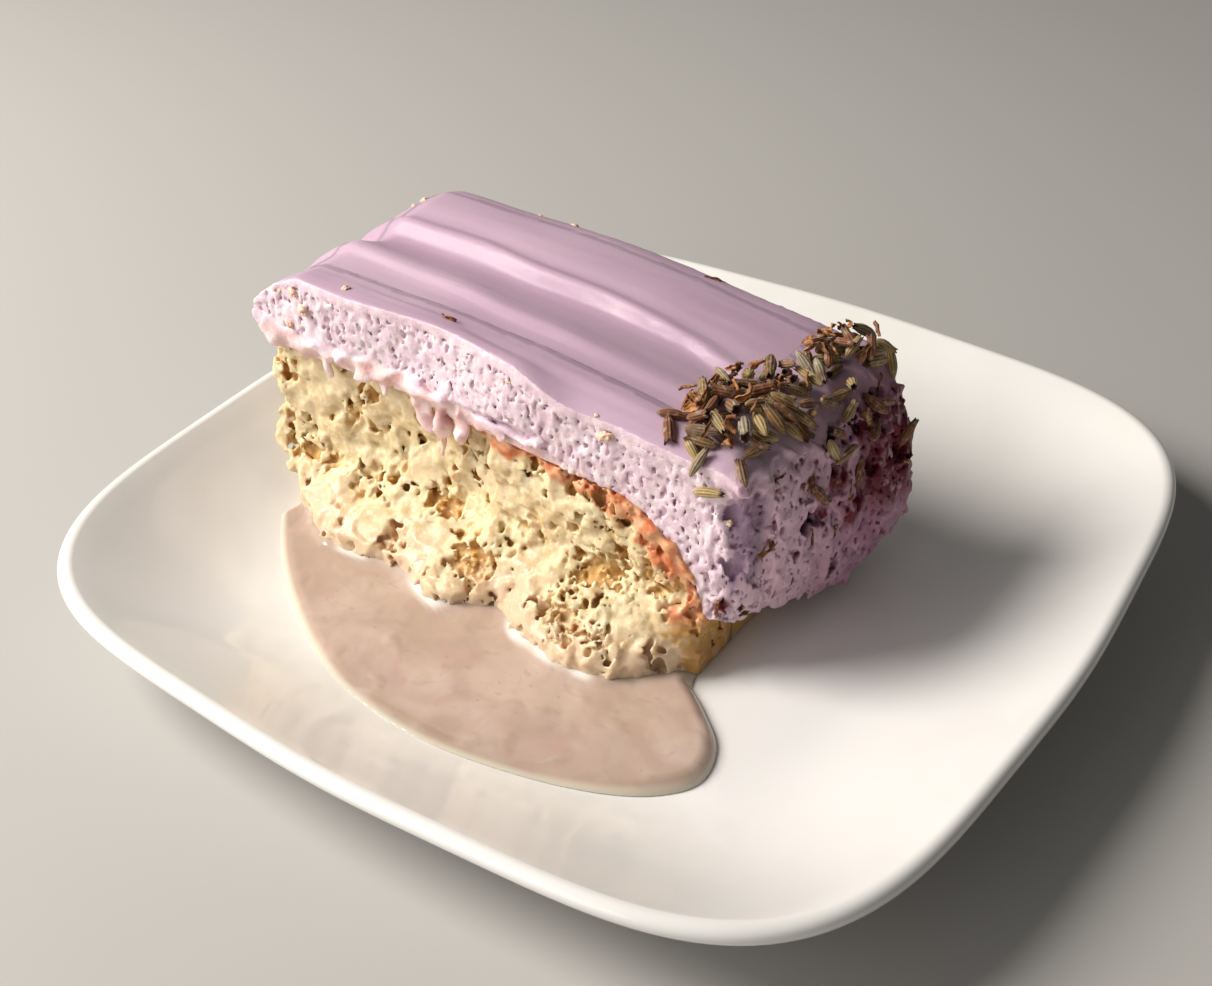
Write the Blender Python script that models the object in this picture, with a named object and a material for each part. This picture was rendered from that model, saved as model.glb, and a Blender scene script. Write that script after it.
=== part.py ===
# A cut block of tres leches cake under whipped cream, on its square coupe plate.
# X runs along the cake, Y across it, and the cut crumb that shows faces -Y.
# The origin is the middle of the plate's foot, on the table. Units are metres.

import math
import random

import bmesh
import bpy
from mathutils import Matrix, Vector, noise
from mathutils.bvhtree import BVHTree

# One millimetre in metres
MM = 0.001

# Plate: a rounded square coupe with a thick lip and a foot ring
PLATE_HALF = 100 * MM
PLATE_SQUARENESS = 3.92
PLATE_RIPPLE = 0.007
PLATE_SEGMENTS = 72
FLOOR_Z = 5 * MM
FLOOR_SHARE = 0.58
WELL_DEPTH = 18.75 * MM
LIP_RADIUS = 1.9 * MM
LIP_SHARE = 0.981
PLATE_HEIGHT = 22 * MM
GAP = 0.35 * MM

# Sponge: a block whose right end kept the round of its baking tin
SPONGE_RIGHT = 32.6 * MM
SPONGE_TOP = 45 * MM
SPONGE_TOP_FALL = 0.085
SPONGE_FALL_FROM = -45 * MM
TIN_RADIUS = 24 * MM
SPONGE_FOOT_LEFT = -70 * MM
SPONGE_LEFT_BULGE = 10 * MM
WET_FOOT = 0.115
SPONGE_BACK = 30 * MM
TOP_STATIONS = 20
ARC_STATIONS = 5
SIDE_STATIONS = 5
ACROSS_STATIONS = 12
CRUMB_RELIEF = 1.5 * MM
# Front edge of its foot, flared and notched where the wet crumb slumped, and of its face: (x, y)
SPONGE_FOOT_FRONT = [(-70, -31), (-56, -38), (-37, -36.5), (-22, -41), (-11, -34.5), (-1, -40),
                     (10, -42), (19, -41.5), (25, -35), (32.6, -26)]
SPONGE_FACE_FRONT = [(-70, -24), (-45, -21.5), (-24, -21), (-19, -25), (10, -25.5), (32.6, -25)]

# Whipped cream: about 18 mm over the top and down the right end
CREAM_TOP = 64.3 * MM
CREAM_LEFT = -72 * MM
CREAM_SLOPE_FROM = -45 * MM
CREAM_SLOPE = 1.3
CREAM_CORNER_X = 30 * MM
CREAM_CORNER_Z = 28 * MM
CREAM_THICKNESS_STEPS = 4
CREAM_ACROSS_STEPS = 14
CREAM_SIDE_STEPS = 3
CREAM_RELIEF = 1.3 * MM
# Front and back edges along the cake: (x, y)
CREAM_FRONT = [(-80, -25), (-55, -26), (-30, -24.5), (-5, -26.5), (15, -25), (40, -24)]
CREAM_BACK = [(-80, 30), (-40, 29), (-15, 31), (10, 29.5), (35, 31), (50, 29)]
# Heights of the spatula strokes over the sloping top: (y, height), fading to the right
STROKES = [(-27, -0.9), (-23, 0.2), (-19.5, -0.7), (-10, 0.5), (4, -2.6), (9, 0.1), (12.5, -0.4),
           (18, 0.6), (26, 0.0), (30, -1.6)]
STROKE_FADE = 0.45
STROKE_FADE_FROM = -15 * MM
STROKE_FADE_LENGTH = 35 * MM
FRONT_ROUND_DROP = 3.8 * MM
FRONT_ROUND_FROM = (-12 * MM, -19 * MM)
LEFT_ROUND_DROP = 2.0 * MM
LEFT_ROUND_LENGTH = 5 * MM
LEFT_BULGE = 6 * MM
# Outer face of the right end: its place at the near edge, its slant across, and its lean at the top
END_X = 38.5 * MM
END_NEAR_Y = -24 * MM
END_SLANT = 0.225
END_LEAN = 3.5 * MM
END_LEAN_LOSS = 0.13
END_LEAN_FROM_Z = 25 * MM
END_TUCK = 3 * MM
# Ragged foot of the right end: height at the near edge, its dip across, and its rise at the far edge
CREAM_FOOT_Z = 13.5 * MM
CREAM_FOOT_DIP = 4.0 * MM
CREAM_FOOT_RISE = 4.5 * MM

# Dried lavender buds, heaped across the right end
BUD_LENGTH = 6.2 * MM
BUD_WIDTH = 2.3 * MM
BUD_COUNT = 82
BUD_SPACING = 2.25 * MM
BUD_SEED = 12
HEAP_MIDDLE = (34 * MM, -2 * MM)
HEAP_LONG = 27 * MM
HEAP_WIDE = 11.5 * MM
HEAP_TURN = math.radians(70)
HEAP_RISE = 2.6 * MM

# Pool of milk that ran out of the cake
MILK_LEVEL = 7.6 * MM
MILK_FILM = 1.1 * MM
MILK_STEPS = 7
MILK_EDGE_DROP = 1.2 * MM
# Outer edge of the pool, from the cake's left end round to its right end: (x, y)
POOL_EDGE = [(-71, -36), (-62, -45.5), (-50, -55), (-34, -64.5), (-18, -70.7), (0, -73),
             (17, -70.5), (32, -65.5), (43, -59), (48.7, -51), (46.5, -41.5), (39.5, -34.5), (33.4, -30)]


def smooth(value):
    """Ease from 0 to 1."""
    value = min(1.0, max(0.0, value))
    return value * value * (3 - 2 * value)


def through_points(points, x):
    """Read a smooth line of (x, y) points, in millimetres, at x in metres."""
    x_mm = x / MM
    if x_mm <= points[0][0]:
        return points[0][1] * MM
    for (x0, y0), (x1, y1) in zip(points, points[1:]):
        if x_mm <= x1:
            return (y0 + (y1 - y0) * smooth((x_mm - x0) / (x1 - x0))) * MM
    return points[-1][1] * MM


def clear_scene():
    for item in list(bpy.data.objects):
        bpy.data.objects.remove(item)


def material(name, colour, roughness):
    made = bpy.data.materials.new(name)
    made.use_nodes = True
    shader = made.node_tree.nodes["Principled BSDF"]
    shader.inputs["Base Color"].default_value = (*colour, 1)
    shader.inputs["Roughness"].default_value = roughness
    shader.inputs["Metallic"].default_value = 0
    return made


def make_object(name, mesh_data, finish, sharp_angle):
    mesh_data.materials.append(finish)
    mesh_data.shade_smooth()
    mesh_data.set_sharp_from_angle(angle=math.radians(sharp_angle))
    made = bpy.data.objects.new(name, mesh_data)
    bpy.context.scene.collection.objects.link(made)
    return made


def outline_radius(angle):
    """Distance from the plate's middle to its rim in one direction."""
    c = abs(math.cos(angle))
    s = abs(math.sin(angle))
    n = PLATE_SQUARENESS
    squared = (c ** n + s ** n) ** (-1 / n)
    return PLATE_HALF * squared * (1 + PLATE_RIPPLE * math.cos(8 * angle))


def well_height(share):
    """Height of the plate's upper face at a share of the way to the rim."""
    rise = min(1.0, max(0.0, (share - FLOOR_SHARE) / (1 - FLOOR_SHARE)))
    return FLOOR_Z + WELL_DEPTH * (1 - math.cos(rise * math.pi / 2))


def plate_height(x, y):
    share = math.hypot(x, y) / outline_radius(math.atan2(y, x))
    return well_height(share)


def plate_profile():
    """Shares and heights from the middle of the well, over the lip, to the middle of the foot."""
    well = [0.0, FLOOR_SHARE, 0.62, 0.66, 0.70, 0.75, 0.81, 0.87, 0.93]
    profile = [(share, well_height(share)) for share in well]
    for degrees in (125, 90, 50, 5, -40):
        turn = math.radians(degrees)
        share = LIP_SHARE + LIP_RADIUS * math.cos(turn) / PLATE_HALF
        profile.append((share, PLATE_HEIGHT - LIP_RADIUS * (1 - math.sin(turn))))
    underside = [(0.93, 14.2), (0.84, 8.0), (0.72, 3.6), (0.62, 2.0)]
    foot = [(0.605, 0.0), (0.565, 0.0), (0.545, 1.4), (0.0, 1.4)]
    profile += [(share, height * MM) for share, height in underside + foot]
    return profile


def make_plate():
    mesh = bmesh.new()
    angles = [math.tau * i / PLATE_SEGMENTS for i in range(PLATE_SEGMENTS)]
    rings = []
    for share, height in plate_profile():
        if share == 0.0:
            rings.append([mesh.verts.new((0, 0, height))])
            continue
        ring = []
        for angle in angles:
            reach = share * outline_radius(angle)
            ring.append(mesh.verts.new((reach * math.cos(angle), reach * math.sin(angle), height)))
        rings.append(ring)
    for upper, lower in zip(rings, rings[1:]):
        for i in range(PLATE_SEGMENTS):
            j = (i + 1) % PLATE_SEGMENTS
            corners = [upper[i % len(upper)], upper[j % len(upper)]]
            corners += [lower[j % len(lower)], lower[i % len(lower)]]
            mesh.faces.new(list(dict.fromkeys(corners)))
    bmesh.ops.recalc_face_normals(mesh, faces=mesh.faces)
    data = bpy.data.meshes.new("plate")
    mesh.to_mesh(data)
    mesh.free()
    return make_object("plate", data, material("white_porcelain", (0.86, 0.85, 0.82), 0.12), 40)


def block_mesh(steps, place):
    """The closed skin of a block of steps (along, across, up), each corner set by place(i, j, k)."""
    mesh = bmesh.new()
    corners = {}
    along, across, up = steps

    def corner(i, j, k):
        if (i, j, k) not in corners:
            corners[i, j, k] = mesh.verts.new(place(i, j, k))
        return corners[i, j, k]

    def face(first, second):
        """Add the square that starts at corner (i, j, k) and runs one step along two of the axes."""
        steps = ((0, 0), (1, 0), (1, 1), (0, 1))
        mesh.faces.new([corner(i + a * first[0] + b * second[0], j + a * first[1] + b * second[1],
                               k + a * first[2] + b * second[2]) for a, b in steps])

    for i in range(along):
        for j in range(across):
            for k in (0, up):
                face((1, 0, 0), (0, 1, 0))
    for i in range(along):
        for k in range(up):
            for j in (0, across):
                face((1, 0, 0), (0, 0, 1))
    for j in range(across):
        for k in range(up):
            for i in (0, along):
                face((0, 1, 0), (0, 0, 1))
    bmesh.ops.recalc_face_normals(mesh, faces=mesh.faces)
    mesh.normal_update()
    return mesh, corners


def roughen(mesh, corners, amount):
    """Move each corner along its normal by amount(i, j, k, position)."""
    moves = {}
    for key, vert in corners.items():
        moves[key] = vert.normal * amount(*key, vert.co)
    for key, vert in corners.items():
        vert.co += moves[key]
    bmesh.ops.triangulate(mesh, faces=mesh.faces)


def crumb_noise(position, size, seed):
    return noise.noise(position / size + Vector((seed, seed * 0.7, -seed)))


def side_share(k):
    """Share of the straight side reached at level k, and the round's own share above it."""
    straight = min(k, SIDE_STATIONS) / SIDE_STATIONS
    turn = math.tan(math.pi / 4 * max(0, k - SIDE_STATIONS) / ARC_STATIONS)
    return straight, turn


def sponge_section(i, k):
    """Place in the X-Z section: the box is squeezed onto a round corner at the top right."""
    straight, up = side_share(k)
    foot = FLOOR_Z + GAP
    z = foot + straight * (SPONGE_TOP - TIN_RADIUS - foot) + up * TIN_RADIUS
    straight_end = SPONGE_RIGHT - TIN_RADIUS
    height_share = (z - foot) / (SPONGE_TOP - foot)
    left = SPONGE_FOOT_LEFT - SPONGE_LEFT_BULGE * smooth((height_share - WET_FOOT) / 0.25)
    along = math.tan(math.pi / 4 * max(0, i - TOP_STATIONS) / ARC_STATIONS)
    x = left + (straight_end - left) * min(i, TOP_STATIONS) / TOP_STATIONS + along * TIN_RADIUS
    if along > 0 and up > 0:
        pull = max(along, up) / math.hypot(along, up)
        x = straight_end + along * pull * TIN_RADIUS
        z = SPONGE_TOP - TIN_RADIUS + up * pull * TIN_RADIUS
    fall = SPONGE_TOP_FALL * max(0.0, x - SPONGE_FALL_FROM) * (z - foot) / (SPONGE_TOP - foot)
    return x, z - fall


def sponge_corner(i, j, k):
    x, z = sponge_section(i, k)
    foot = FLOOR_Z + GAP
    height_share = (z - foot) / (SPONGE_TOP - foot)
    flare = 1 - smooth((height_share - WET_FOOT) / 0.34)
    front_foot = through_points(SPONGE_FOOT_FRONT, x)
    front = front_foot * flare + through_points(SPONGE_FACE_FRONT, x) * (1 - flare)
    y = front + (SPONGE_BACK - front) * j / ACROSS_STATIONS
    lift = plate_height(x, y) - FLOOR_Z
    return Vector((x, y, z + lift * (1 - height_share) ** 3))


def sponge_relief(i, j, k, position):
    """Torn crumb on the cut faces, none where the cream, milk or plate touches."""
    top = ARC_STATIONS + SIDE_STATIONS
    if k <= 2 or k >= top or i >= TOP_STATIONS + ARC_STATIONS:
        return 0.0
    fine = crumb_noise(position, 4.5 * MM, 3)
    broad = crumb_noise(position, 13 * MM, 8)
    ease = min(1.0, (top - k) / 2, (k - 2) / 2)
    return CRUMB_RELIEF * ease * (fine + 0.8 * broad)


def make_sponge():
    steps = (TOP_STATIONS + ARC_STATIONS, ACROSS_STATIONS, SIDE_STATIONS + ARC_STATIONS)
    mesh, corners = block_mesh(steps, sponge_corner)
    roughen(mesh, corners, sponge_relief)
    data = bpy.data.meshes.new("sponge")
    mesh.to_mesh(data)
    mesh.free()
    return make_object("sponge", data, material("sponge_crumb", (0.72, 0.56, 0.32), 0.85), 60)


def heap_share(x, y):
    """Distance from the heap's middle, 1 at its outline."""
    dx = x - HEAP_MIDDLE[0]
    dy = y - HEAP_MIDDLE[1]
    along = dx * math.cos(HEAP_TURN) + dy * math.sin(HEAP_TURN)
    across = dy * math.cos(HEAP_TURN) - dx * math.sin(HEAP_TURN)
    return math.hypot(along / HEAP_LONG, across / HEAP_WIDE)


def cream_height(x, y):
    """Top of the whipped cream: a long fall to the right with spatula strokes along it."""
    base = CREAM_TOP - CREAM_SLOPE * max(0.0, x - CREAM_SLOPE_FROM) ** 2
    fade = 1 - STROKE_FADE * smooth((x - STROKE_FADE_FROM) / STROKE_FADE_LENGTH)
    strokes = through_points(STROKES, y) * fade
    round_x, round_y = FRONT_ROUND_FROM
    front_round = FRONT_ROUND_DROP * smooth((x - round_x) / (16 * MM)) * smooth((round_y - y) / (8 * MM))
    left_round = LEFT_ROUND_DROP * smooth((CREAM_LEFT + LEFT_ROUND_LENGTH - x) / (6 * MM))
    mound = HEAP_RISE * smooth(1.15 - heap_share(x, y))
    return base + strokes - front_round - left_round + mound


def end_face(y, z):
    """X of the cream's outer face on the right end, which runs askew."""
    across = y - END_NEAR_Y
    upper = smooth((z - END_LEAN_FROM_Z) / (25 * MM))
    return END_X + END_SLANT * across + (END_LEAN - END_LEAN_LOSS * across) * upper


def cream_foot(y):
    """Height of the ragged lower edge of the cream on the right end."""
    dip = CREAM_FOOT_DIP * smooth((y - END_NEAR_Y) / (40 * MM))
    rise = CREAM_FOOT_RISE * smooth((y - 16 * MM) / (14 * MM))
    return CREAM_FOOT_Z - dip + rise


def crust_line():
    """The X-Z line of the sponge's top and right end, GAP outside it."""
    top = SIDE_STATIONS + ARC_STATIONS
    line = [sponge_section(i, top) for i in range(TOP_STATIONS + ARC_STATIONS)]
    line += [sponge_section(TOP_STATIONS + ARC_STATIONS, k) for k in range(top, SIDE_STATIONS - 1, -1)]
    return line


CRUST_LINE = crust_line()
CREAM_STEPS = len(CRUST_LINE) - 1 + CREAM_SIDE_STEPS


def cream_inner(i, y):
    """Underside of the cream on the crust, then the inside of its right end."""
    last = len(CRUST_LINE) - 1
    if i > last:
        x, z = CRUST_LINE[last]
        share = (i - last) / CREAM_SIDE_STEPS
        return x + GAP, z + (cream_foot(y) - z) * share
    x, z = CRUST_LINE[i]
    before = Vector(CRUST_LINE[max(0, i - 1)])
    after = Vector(CRUST_LINE[min(last, i + 1)])
    run = (after - before).normalized()
    if i == last:
        run = Vector((0, -1))
    return x - run.y * GAP * 1.1, z + run.x * GAP * 1.1


def cream_outer(i, y):
    """Top of the cream, its rounded right corner, then the end face down to its ragged foot."""
    corner = 2 * ARC_STATIONS
    if i <= TOP_STATIONS:
        x = CREAM_LEFT + (CREAM_CORNER_X - CREAM_LEFT) * i / TOP_STATIONS
        return x, cream_height(x, y)
    if i <= TOP_STATIONS + corner:
        turn = math.pi / 2 * (i - TOP_STATIONS) / corner
        height = CREAM_CORNER_Z + (cream_height(CREAM_CORNER_X, y) - CREAM_CORNER_Z) * math.cos(turn) ** 0.55
        face = end_face(y, height)
        return CREAM_CORNER_X + (face - CREAM_CORNER_X) * math.sin(turn) ** 0.55, height
    share = (i - TOP_STATIONS - corner) / CREAM_SIDE_STEPS
    z = CREAM_CORNER_Z + (cream_foot(y) - CREAM_CORNER_Z) * share
    return end_face(y, z) - END_TUCK * share ** 2, z


def cream_corner(i, j, k):
    across = j / CREAM_ACROSS_STEPS
    middle_x = cream_outer(i, 0)[0]
    front = through_points(CREAM_FRONT, middle_x)
    back = through_points(CREAM_BACK, middle_x)
    y = front + (back - front) * across
    inner = Vector(cream_inner(i, y))
    outer = Vector(cream_outer(i, y))
    share = k / CREAM_THICKNESS_STEPS
    place = inner.lerp(outer, share)
    end_bulge = LEFT_BULGE * math.sin(math.pi * share) if i == 0 else 0.0
    return Vector((place.x - end_bulge, y, place.y))


def cream_relief(i, j, k, position):
    """Foam on the cut faces and torn cream on the right end, none where the sponge touches."""
    if k == 0:
        return 0.0
    end = smooth((i - TOP_STATIONS - 3) / 4)
    side = 1.0 if j in (0, CREAM_ACROSS_STEPS) or i == 0 else 0.0
    rough = max(0.12, 0.4 * side, end) * min(1.0, k / 2)
    fine = crumb_noise(position, 5 * MM, 21)
    broad = crumb_noise(position, 11 * MM, 27)
    return CREAM_RELIEF * rough * (fine + 0.6 * broad)


def bud_mesh(name, length, width):
    """A small ribbed bud: five sides, three rings and two tips."""
    mesh = bmesh.new()
    sides = 5
    rings = [(-0.26, 0.82), (0.05, 1.0), (0.34, 0.6)]
    tail = mesh.verts.new((-length / 2, 0, 0))
    tip = mesh.verts.new((length / 2, 0, 0))
    loops = []
    for along, thick in rings:
        loop = []
        for side in range(sides):
            turn = math.tau * side / sides
            reach = width / 2 * thick
            loop.append(mesh.verts.new((along * length, reach * math.cos(turn), reach * math.sin(turn))))
        loops.append(loop)
    for side in range(sides):
        after = (side + 1) % sides
        mesh.faces.new([tail, loops[0][after], loops[0][side]])
        mesh.faces.new([tip, loops[-1][side], loops[-1][after]])
        for near, far in zip(loops, loops[1:]):
            mesh.faces.new([near[side], near[after], far[after], far[side]])
    bmesh.ops.recalc_face_normals(mesh, faces=mesh.faces)
    data = bpy.data.meshes.new(name)
    mesh.to_mesh(data)
    mesh.free()
    return data


def bud_places():
    """Middle, heading and size of each bud, densest in the middle of the heap."""
    draw = random.Random(BUD_SEED)
    places = []
    while len(places) < BUD_COUNT:
        reach = draw.random() ** 0.62
        turn = draw.uniform(0, math.tau)
        along = HEAP_LONG * reach * math.cos(turn)
        across = HEAP_WIDE * reach * math.sin(turn)
        x = HEAP_MIDDLE[0] + along * math.cos(HEAP_TURN) - across * math.sin(HEAP_TURN)
        y = HEAP_MIDDLE[1] + along * math.sin(HEAP_TURN) + across * math.cos(HEAP_TURN)
        heading = draw.uniform(0, math.pi)
        pitch = draw.gauss(0, 0.22)
        size = draw.uniform(0.8, 1.12)
        crowded = any(math.hypot(x - other[0], y - other[1]) < BUD_SPACING for other in places)
        if not crowded and y > -25 * MM and y < 29 * MM:
            places.append((x, y, heading, pitch, size))
    return places


def scatter_buds(cream_mesh, finish):
    """Lay the buds on the cream, each sunk a little into it."""
    tree = BVHTree.FromBMesh(cream_mesh)
    heap = bpy.data.collections.new("lavender_heap")
    for number, (x, y, heading, pitch, size) in enumerate(bud_places()):
        hit, normal, _, _ = tree.ray_cast(Vector((x, y, 0.1)), Vector((0, 0, -1)))
        if hit is None:
            continue
        data = bud_mesh("lavender_bud", BUD_LENGTH * size, BUD_WIDTH * size)
        data.materials.append(finish)
        bud = bpy.data.objects.new("lavender_bud_%02d" % number, data)
        lie = normal.to_track_quat("Z", "X").to_matrix().to_4x4()
        turn = Matrix.Rotation(heading, 4, "Z") @ Matrix.Rotation(pitch, 4, "Y")
        data.transform(Matrix.Translation(hit + normal * BUD_WIDTH * 0.22) @ lie @ turn)
        heap.objects.link(bud)
    return heap


def keep_main_body(mesh_data):
    """Drop the sealed hollows and loose scraps that joining the buds leaves."""
    mesh = bmesh.new()
    mesh.from_mesh(mesh_data)
    unseen = set(mesh.verts)
    bodies = []
    while unseen:
        body = set()
        edge_of_body = [unseen.pop()]
        while edge_of_body:
            vert = edge_of_body.pop()
            body.add(vert)
            for edge in vert.link_edges:
                other = edge.other_vert(vert)
                if other in unseen:
                    unseen.remove(other)
                    edge_of_body.append(other)
        bodies.append(body)
    bodies.sort(key=len)
    for body in bodies[:-1]:
        bmesh.ops.delete(mesh, geom=list(body), context="VERTS")
    mesh.to_mesh(mesh_data)
    mesh.free()


def make_cream():
    mesh, corners = block_mesh((CREAM_STEPS, CREAM_ACROSS_STEPS, CREAM_THICKNESS_STEPS), cream_corner)
    roughen(mesh, corners, cream_relief)
    data = bpy.data.meshes.new("frosting")
    mesh.to_mesh(data)
    finish = material("whipped_cream", (0.55, 0.38, 0.47), 0.5)
    cream = make_object("frosting", data, finish, 50)
    heap = scatter_buds(mesh, finish)
    mesh.free()
    union = cream.modifiers.new("lavender", "BOOLEAN")
    union.operation = "UNION"
    union.operand_type = "COLLECTION"
    union.collection = heap
    union.solver = "EXACT"
    fused = bpy.data.meshes.new_from_object(cream.evaluated_get(bpy.context.evaluated_depsgraph_get()))
    cream.modifiers.clear()
    keep_main_body(fused)
    cream.data = fused
    for bud in list(heap.objects):
        bpy.data.objects.remove(bud)
    bpy.data.collections.remove(heap)
    return cream


def curve_point(points, share):
    """A point on the smooth curve through the given points, in metres."""
    spot = share * (len(points) - 1)
    i = min(int(spot), len(points) - 2)
    t = spot - i
    before = Vector(points[max(0, i - 1)])
    start = Vector(points[i])
    end = Vector(points[i + 1])
    after = Vector(points[min(len(points) - 1, i + 2)])
    out = 0.5 * ((2 * start) + (end - before) * t + (2 * before - 5 * start + 4 * end - after) * t ** 2
                 + (3 * start - before - 3 * end + after) * t ** 3)
    return out * MM


def milk_corner(i, j, k):
    stations = TOP_STATIONS + ARC_STATIONS
    foot = sponge_corner(i, 0, 0).xy
    before = sponge_corner(max(0, i - 1), 0, 0).xy
    after = sponge_corner(min(stations, i + 1), 0, 0).xy
    run = (after - before).normalized()
    inner = foot + Vector((run.y, -run.x)) * GAP * 1.4
    outer = curve_point(POOL_EDGE, i / stations)
    share = j / MILK_STEPS
    spot = inner.lerp(outer, 1 - (1 - share) ** 1.6)
    under = plate_height(spot.x, spot.y) + GAP
    film = MILK_FILM * math.sqrt(max(0.04, 1 - share ** 6))
    top = max(MILK_LEVEL - MILK_EDGE_DROP * smooth((share - 0.8) / 0.25), under + film)
    return Vector((spot.x, spot.y, top if k else under))


def make_milk():
    mesh, _ = block_mesh((TOP_STATIONS + ARC_STATIONS, MILK_STEPS, 1), milk_corner)
    bmesh.ops.triangulate(mesh, faces=mesh.faces)
    data = bpy.data.meshes.new("milk_pool")
    mesh.to_mesh(data)
    mesh.free()
    return make_object("milk_pool", data, material("milk_cream", (0.62, 0.47, 0.37), 0.25), 50)


clear_scene()
make_plate()
make_sponge()
make_cream()
make_milk()
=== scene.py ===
import math
import random

import bmesh
import bpy
import numpy as np
from mathutils import Euler, Matrix, Vector, noise
from mathutils.bvhtree import BVHTree


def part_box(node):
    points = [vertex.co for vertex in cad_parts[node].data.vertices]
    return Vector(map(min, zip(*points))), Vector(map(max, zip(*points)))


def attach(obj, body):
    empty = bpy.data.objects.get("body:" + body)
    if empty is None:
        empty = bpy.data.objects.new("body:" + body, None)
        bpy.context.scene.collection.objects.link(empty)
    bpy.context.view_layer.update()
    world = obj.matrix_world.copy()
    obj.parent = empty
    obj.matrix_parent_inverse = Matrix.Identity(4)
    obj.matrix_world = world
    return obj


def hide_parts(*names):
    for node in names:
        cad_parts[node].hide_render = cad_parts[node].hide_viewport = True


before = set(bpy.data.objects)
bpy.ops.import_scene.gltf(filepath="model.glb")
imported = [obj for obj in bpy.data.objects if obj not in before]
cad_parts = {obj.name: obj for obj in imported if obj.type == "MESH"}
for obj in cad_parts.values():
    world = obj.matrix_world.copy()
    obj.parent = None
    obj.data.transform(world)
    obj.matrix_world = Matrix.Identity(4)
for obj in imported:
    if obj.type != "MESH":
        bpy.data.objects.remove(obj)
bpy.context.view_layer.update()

MM = 0.001


# Camera, light and floor
# The view is the photograph's: from some 20 cm above the table, looking down at the near corner
# of the plate. Soft window light comes from the left and a little behind.

VIEW_TARGET = Vector((-4.5 * MM, -4.3 * MM, 22 * MM))
VIEW_DISTANCE = 338.9 * MM
VIEW_TURN = 35.01
VIEW_DOWN = 35.28
VIEW_ROLL = -0.48
LENS = 47.4

turned = Euler((0, 0, math.radians(VIEW_TURN))).to_matrix()
turned = turned @ Euler((math.radians(90 - VIEW_DOWN), 0, 0)).to_matrix()
turned = turned @ Euler((0, 0, math.radians(VIEW_ROLL))).to_matrix()
camera = bpy.data.objects.new("camera", bpy.data.cameras.new("camera"))
camera.data.lens = LENS
camera.data.sensor_width = 36
camera.data.clip_start = 10 * MM
eye = VIEW_TARGET + turned @ Vector((0, 0, VIEW_DISTANCE))
camera.matrix_world = Matrix.Translation(eye) @ turned.to_4x4()
bpy.context.scene.collection.objects.link(camera)
bpy.context.scene.camera = camera
bpy.context.scene.view_settings.view_transform = "Standard"


def soft_light(name, place, size, power, colour):
    lamp = bpy.data.lights.new(name, "AREA")
    lamp.shape = "DISK"
    lamp.size = size
    lamp.energy = power
    lamp.color = colour
    holder = bpy.data.objects.new(name, lamp)
    holder.location = place
    holder.rotation_euler = (Vector((0, 0, 0.02)) - Vector(place)).to_track_quat("-Z", "Y").to_euler()
    bpy.context.scene.collection.objects.link(holder)


soft_light("window", (-0.62, -0.38, 0.66), 0.55, 14.0, (1.0, 0.95, 0.88))
soft_light("room_fill", (-0.30, -0.95, 0.38), 0.8, 3.2, (1.0, 0.96, 0.92))
world = bpy.data.worlds.new("room")
bpy.context.scene.world = world
world.use_nodes = True
world.node_tree.nodes["Background"].inputs["Color"].default_value = (0.92, 0.90, 0.87, 1)
world.node_tree.nodes["Background"].inputs["Strength"].default_value = 0.12


def new_finish(name, roughness, **values):
    """A material with its shader, ready for a colour."""
    made = bpy.data.materials.new(name)
    made.use_nodes = True
    shader = made.node_tree.nodes["Principled BSDF"]
    shader.inputs["Roughness"].default_value = roughness
    for key, value in values.items():
        shader.inputs[key.replace("_", " ")].default_value = value
    return made, made.node_tree, shader


FLOOR_HALF = 3.0
floor_mesh = bpy.data.meshes.new("floor")
floor_corners = [(x * FLOOR_HALF, y * FLOOR_HALF, 0) for x, y in ((-1, -1), (1, -1), (1, 1), (-1, 1))]
floor_mesh.from_pydata(floor_corners, [], [(0, 1, 2, 3)])
floor = bpy.data.objects.new("floor", floor_mesh)
bpy.context.scene.collection.objects.link(floor)
floor_finish, _, floor_shader = new_finish("pale_floor", 0.8)
floor_shader.inputs["Base Color"].default_value = (0.46, 0.45, 0.435, 1)
floor_mesh.materials.append(floor_finish)


# Plate
# A square coupe side plate of white porcelain: pressed, glazed all over but for its foot ring, with a
# thick rounded lip. The rule of its outline wraps a flat sheet of sections round the plate.

PLATE_HALF = 99.995 * MM
PLATE_SQUARENESS = 3.92
PLATE_RIPPLE = 0.007
FLOOR_Z = 5 * MM
FLOOR_SHARE = 0.58
WELL_DEPTH = 18.75 * MM
LIP_RADIUS = 1.9 * MM
LIP_SHARE = 0.981
PLATE_HEIGHT = 22 * MM
PLATE_SEGMENTS = 320
WELL_STEPS = 34
LIP_STEPS = 14
LIP_START = 122
LIP_SWEEP = 165
UNDER_FROM = 0.985
UNDER_TO = 0.625
UNDER_STEPS = 21


def smooth(value):
    value = min(1.0, max(0.0, value))
    return value * value * (3 - 2 * value)


def through_points(points, x):
    """Read a smooth line of (x, y) points, in millimetres, at x in metres."""
    x_mm = x / MM
    if x_mm <= points[0][0]:
        return points[0][1] * MM
    for (x0, y0), (x1, y1) in zip(points, points[1:]):
        if x_mm <= x1:
            return (y0 + (y1 - y0) * smooth((x_mm - x0) / (x1 - x0))) * MM
    return points[-1][1] * MM


def outline_radius(angle):
    c = abs(math.cos(angle))
    s = abs(math.sin(angle))
    squared = (c ** PLATE_SQUARENESS + s ** PLATE_SQUARENESS) ** (-1 / PLATE_SQUARENESS)
    return PLATE_HALF * squared * (1 + PLATE_RIPPLE * math.cos(8 * angle))


def well_height(share):
    rise = min(1.0, max(0.0, (share - FLOOR_SHARE) / (1 - FLOOR_SHARE)))
    return FLOOR_Z + WELL_DEPTH * (1 - math.cos(rise * math.pi / 2))


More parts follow.
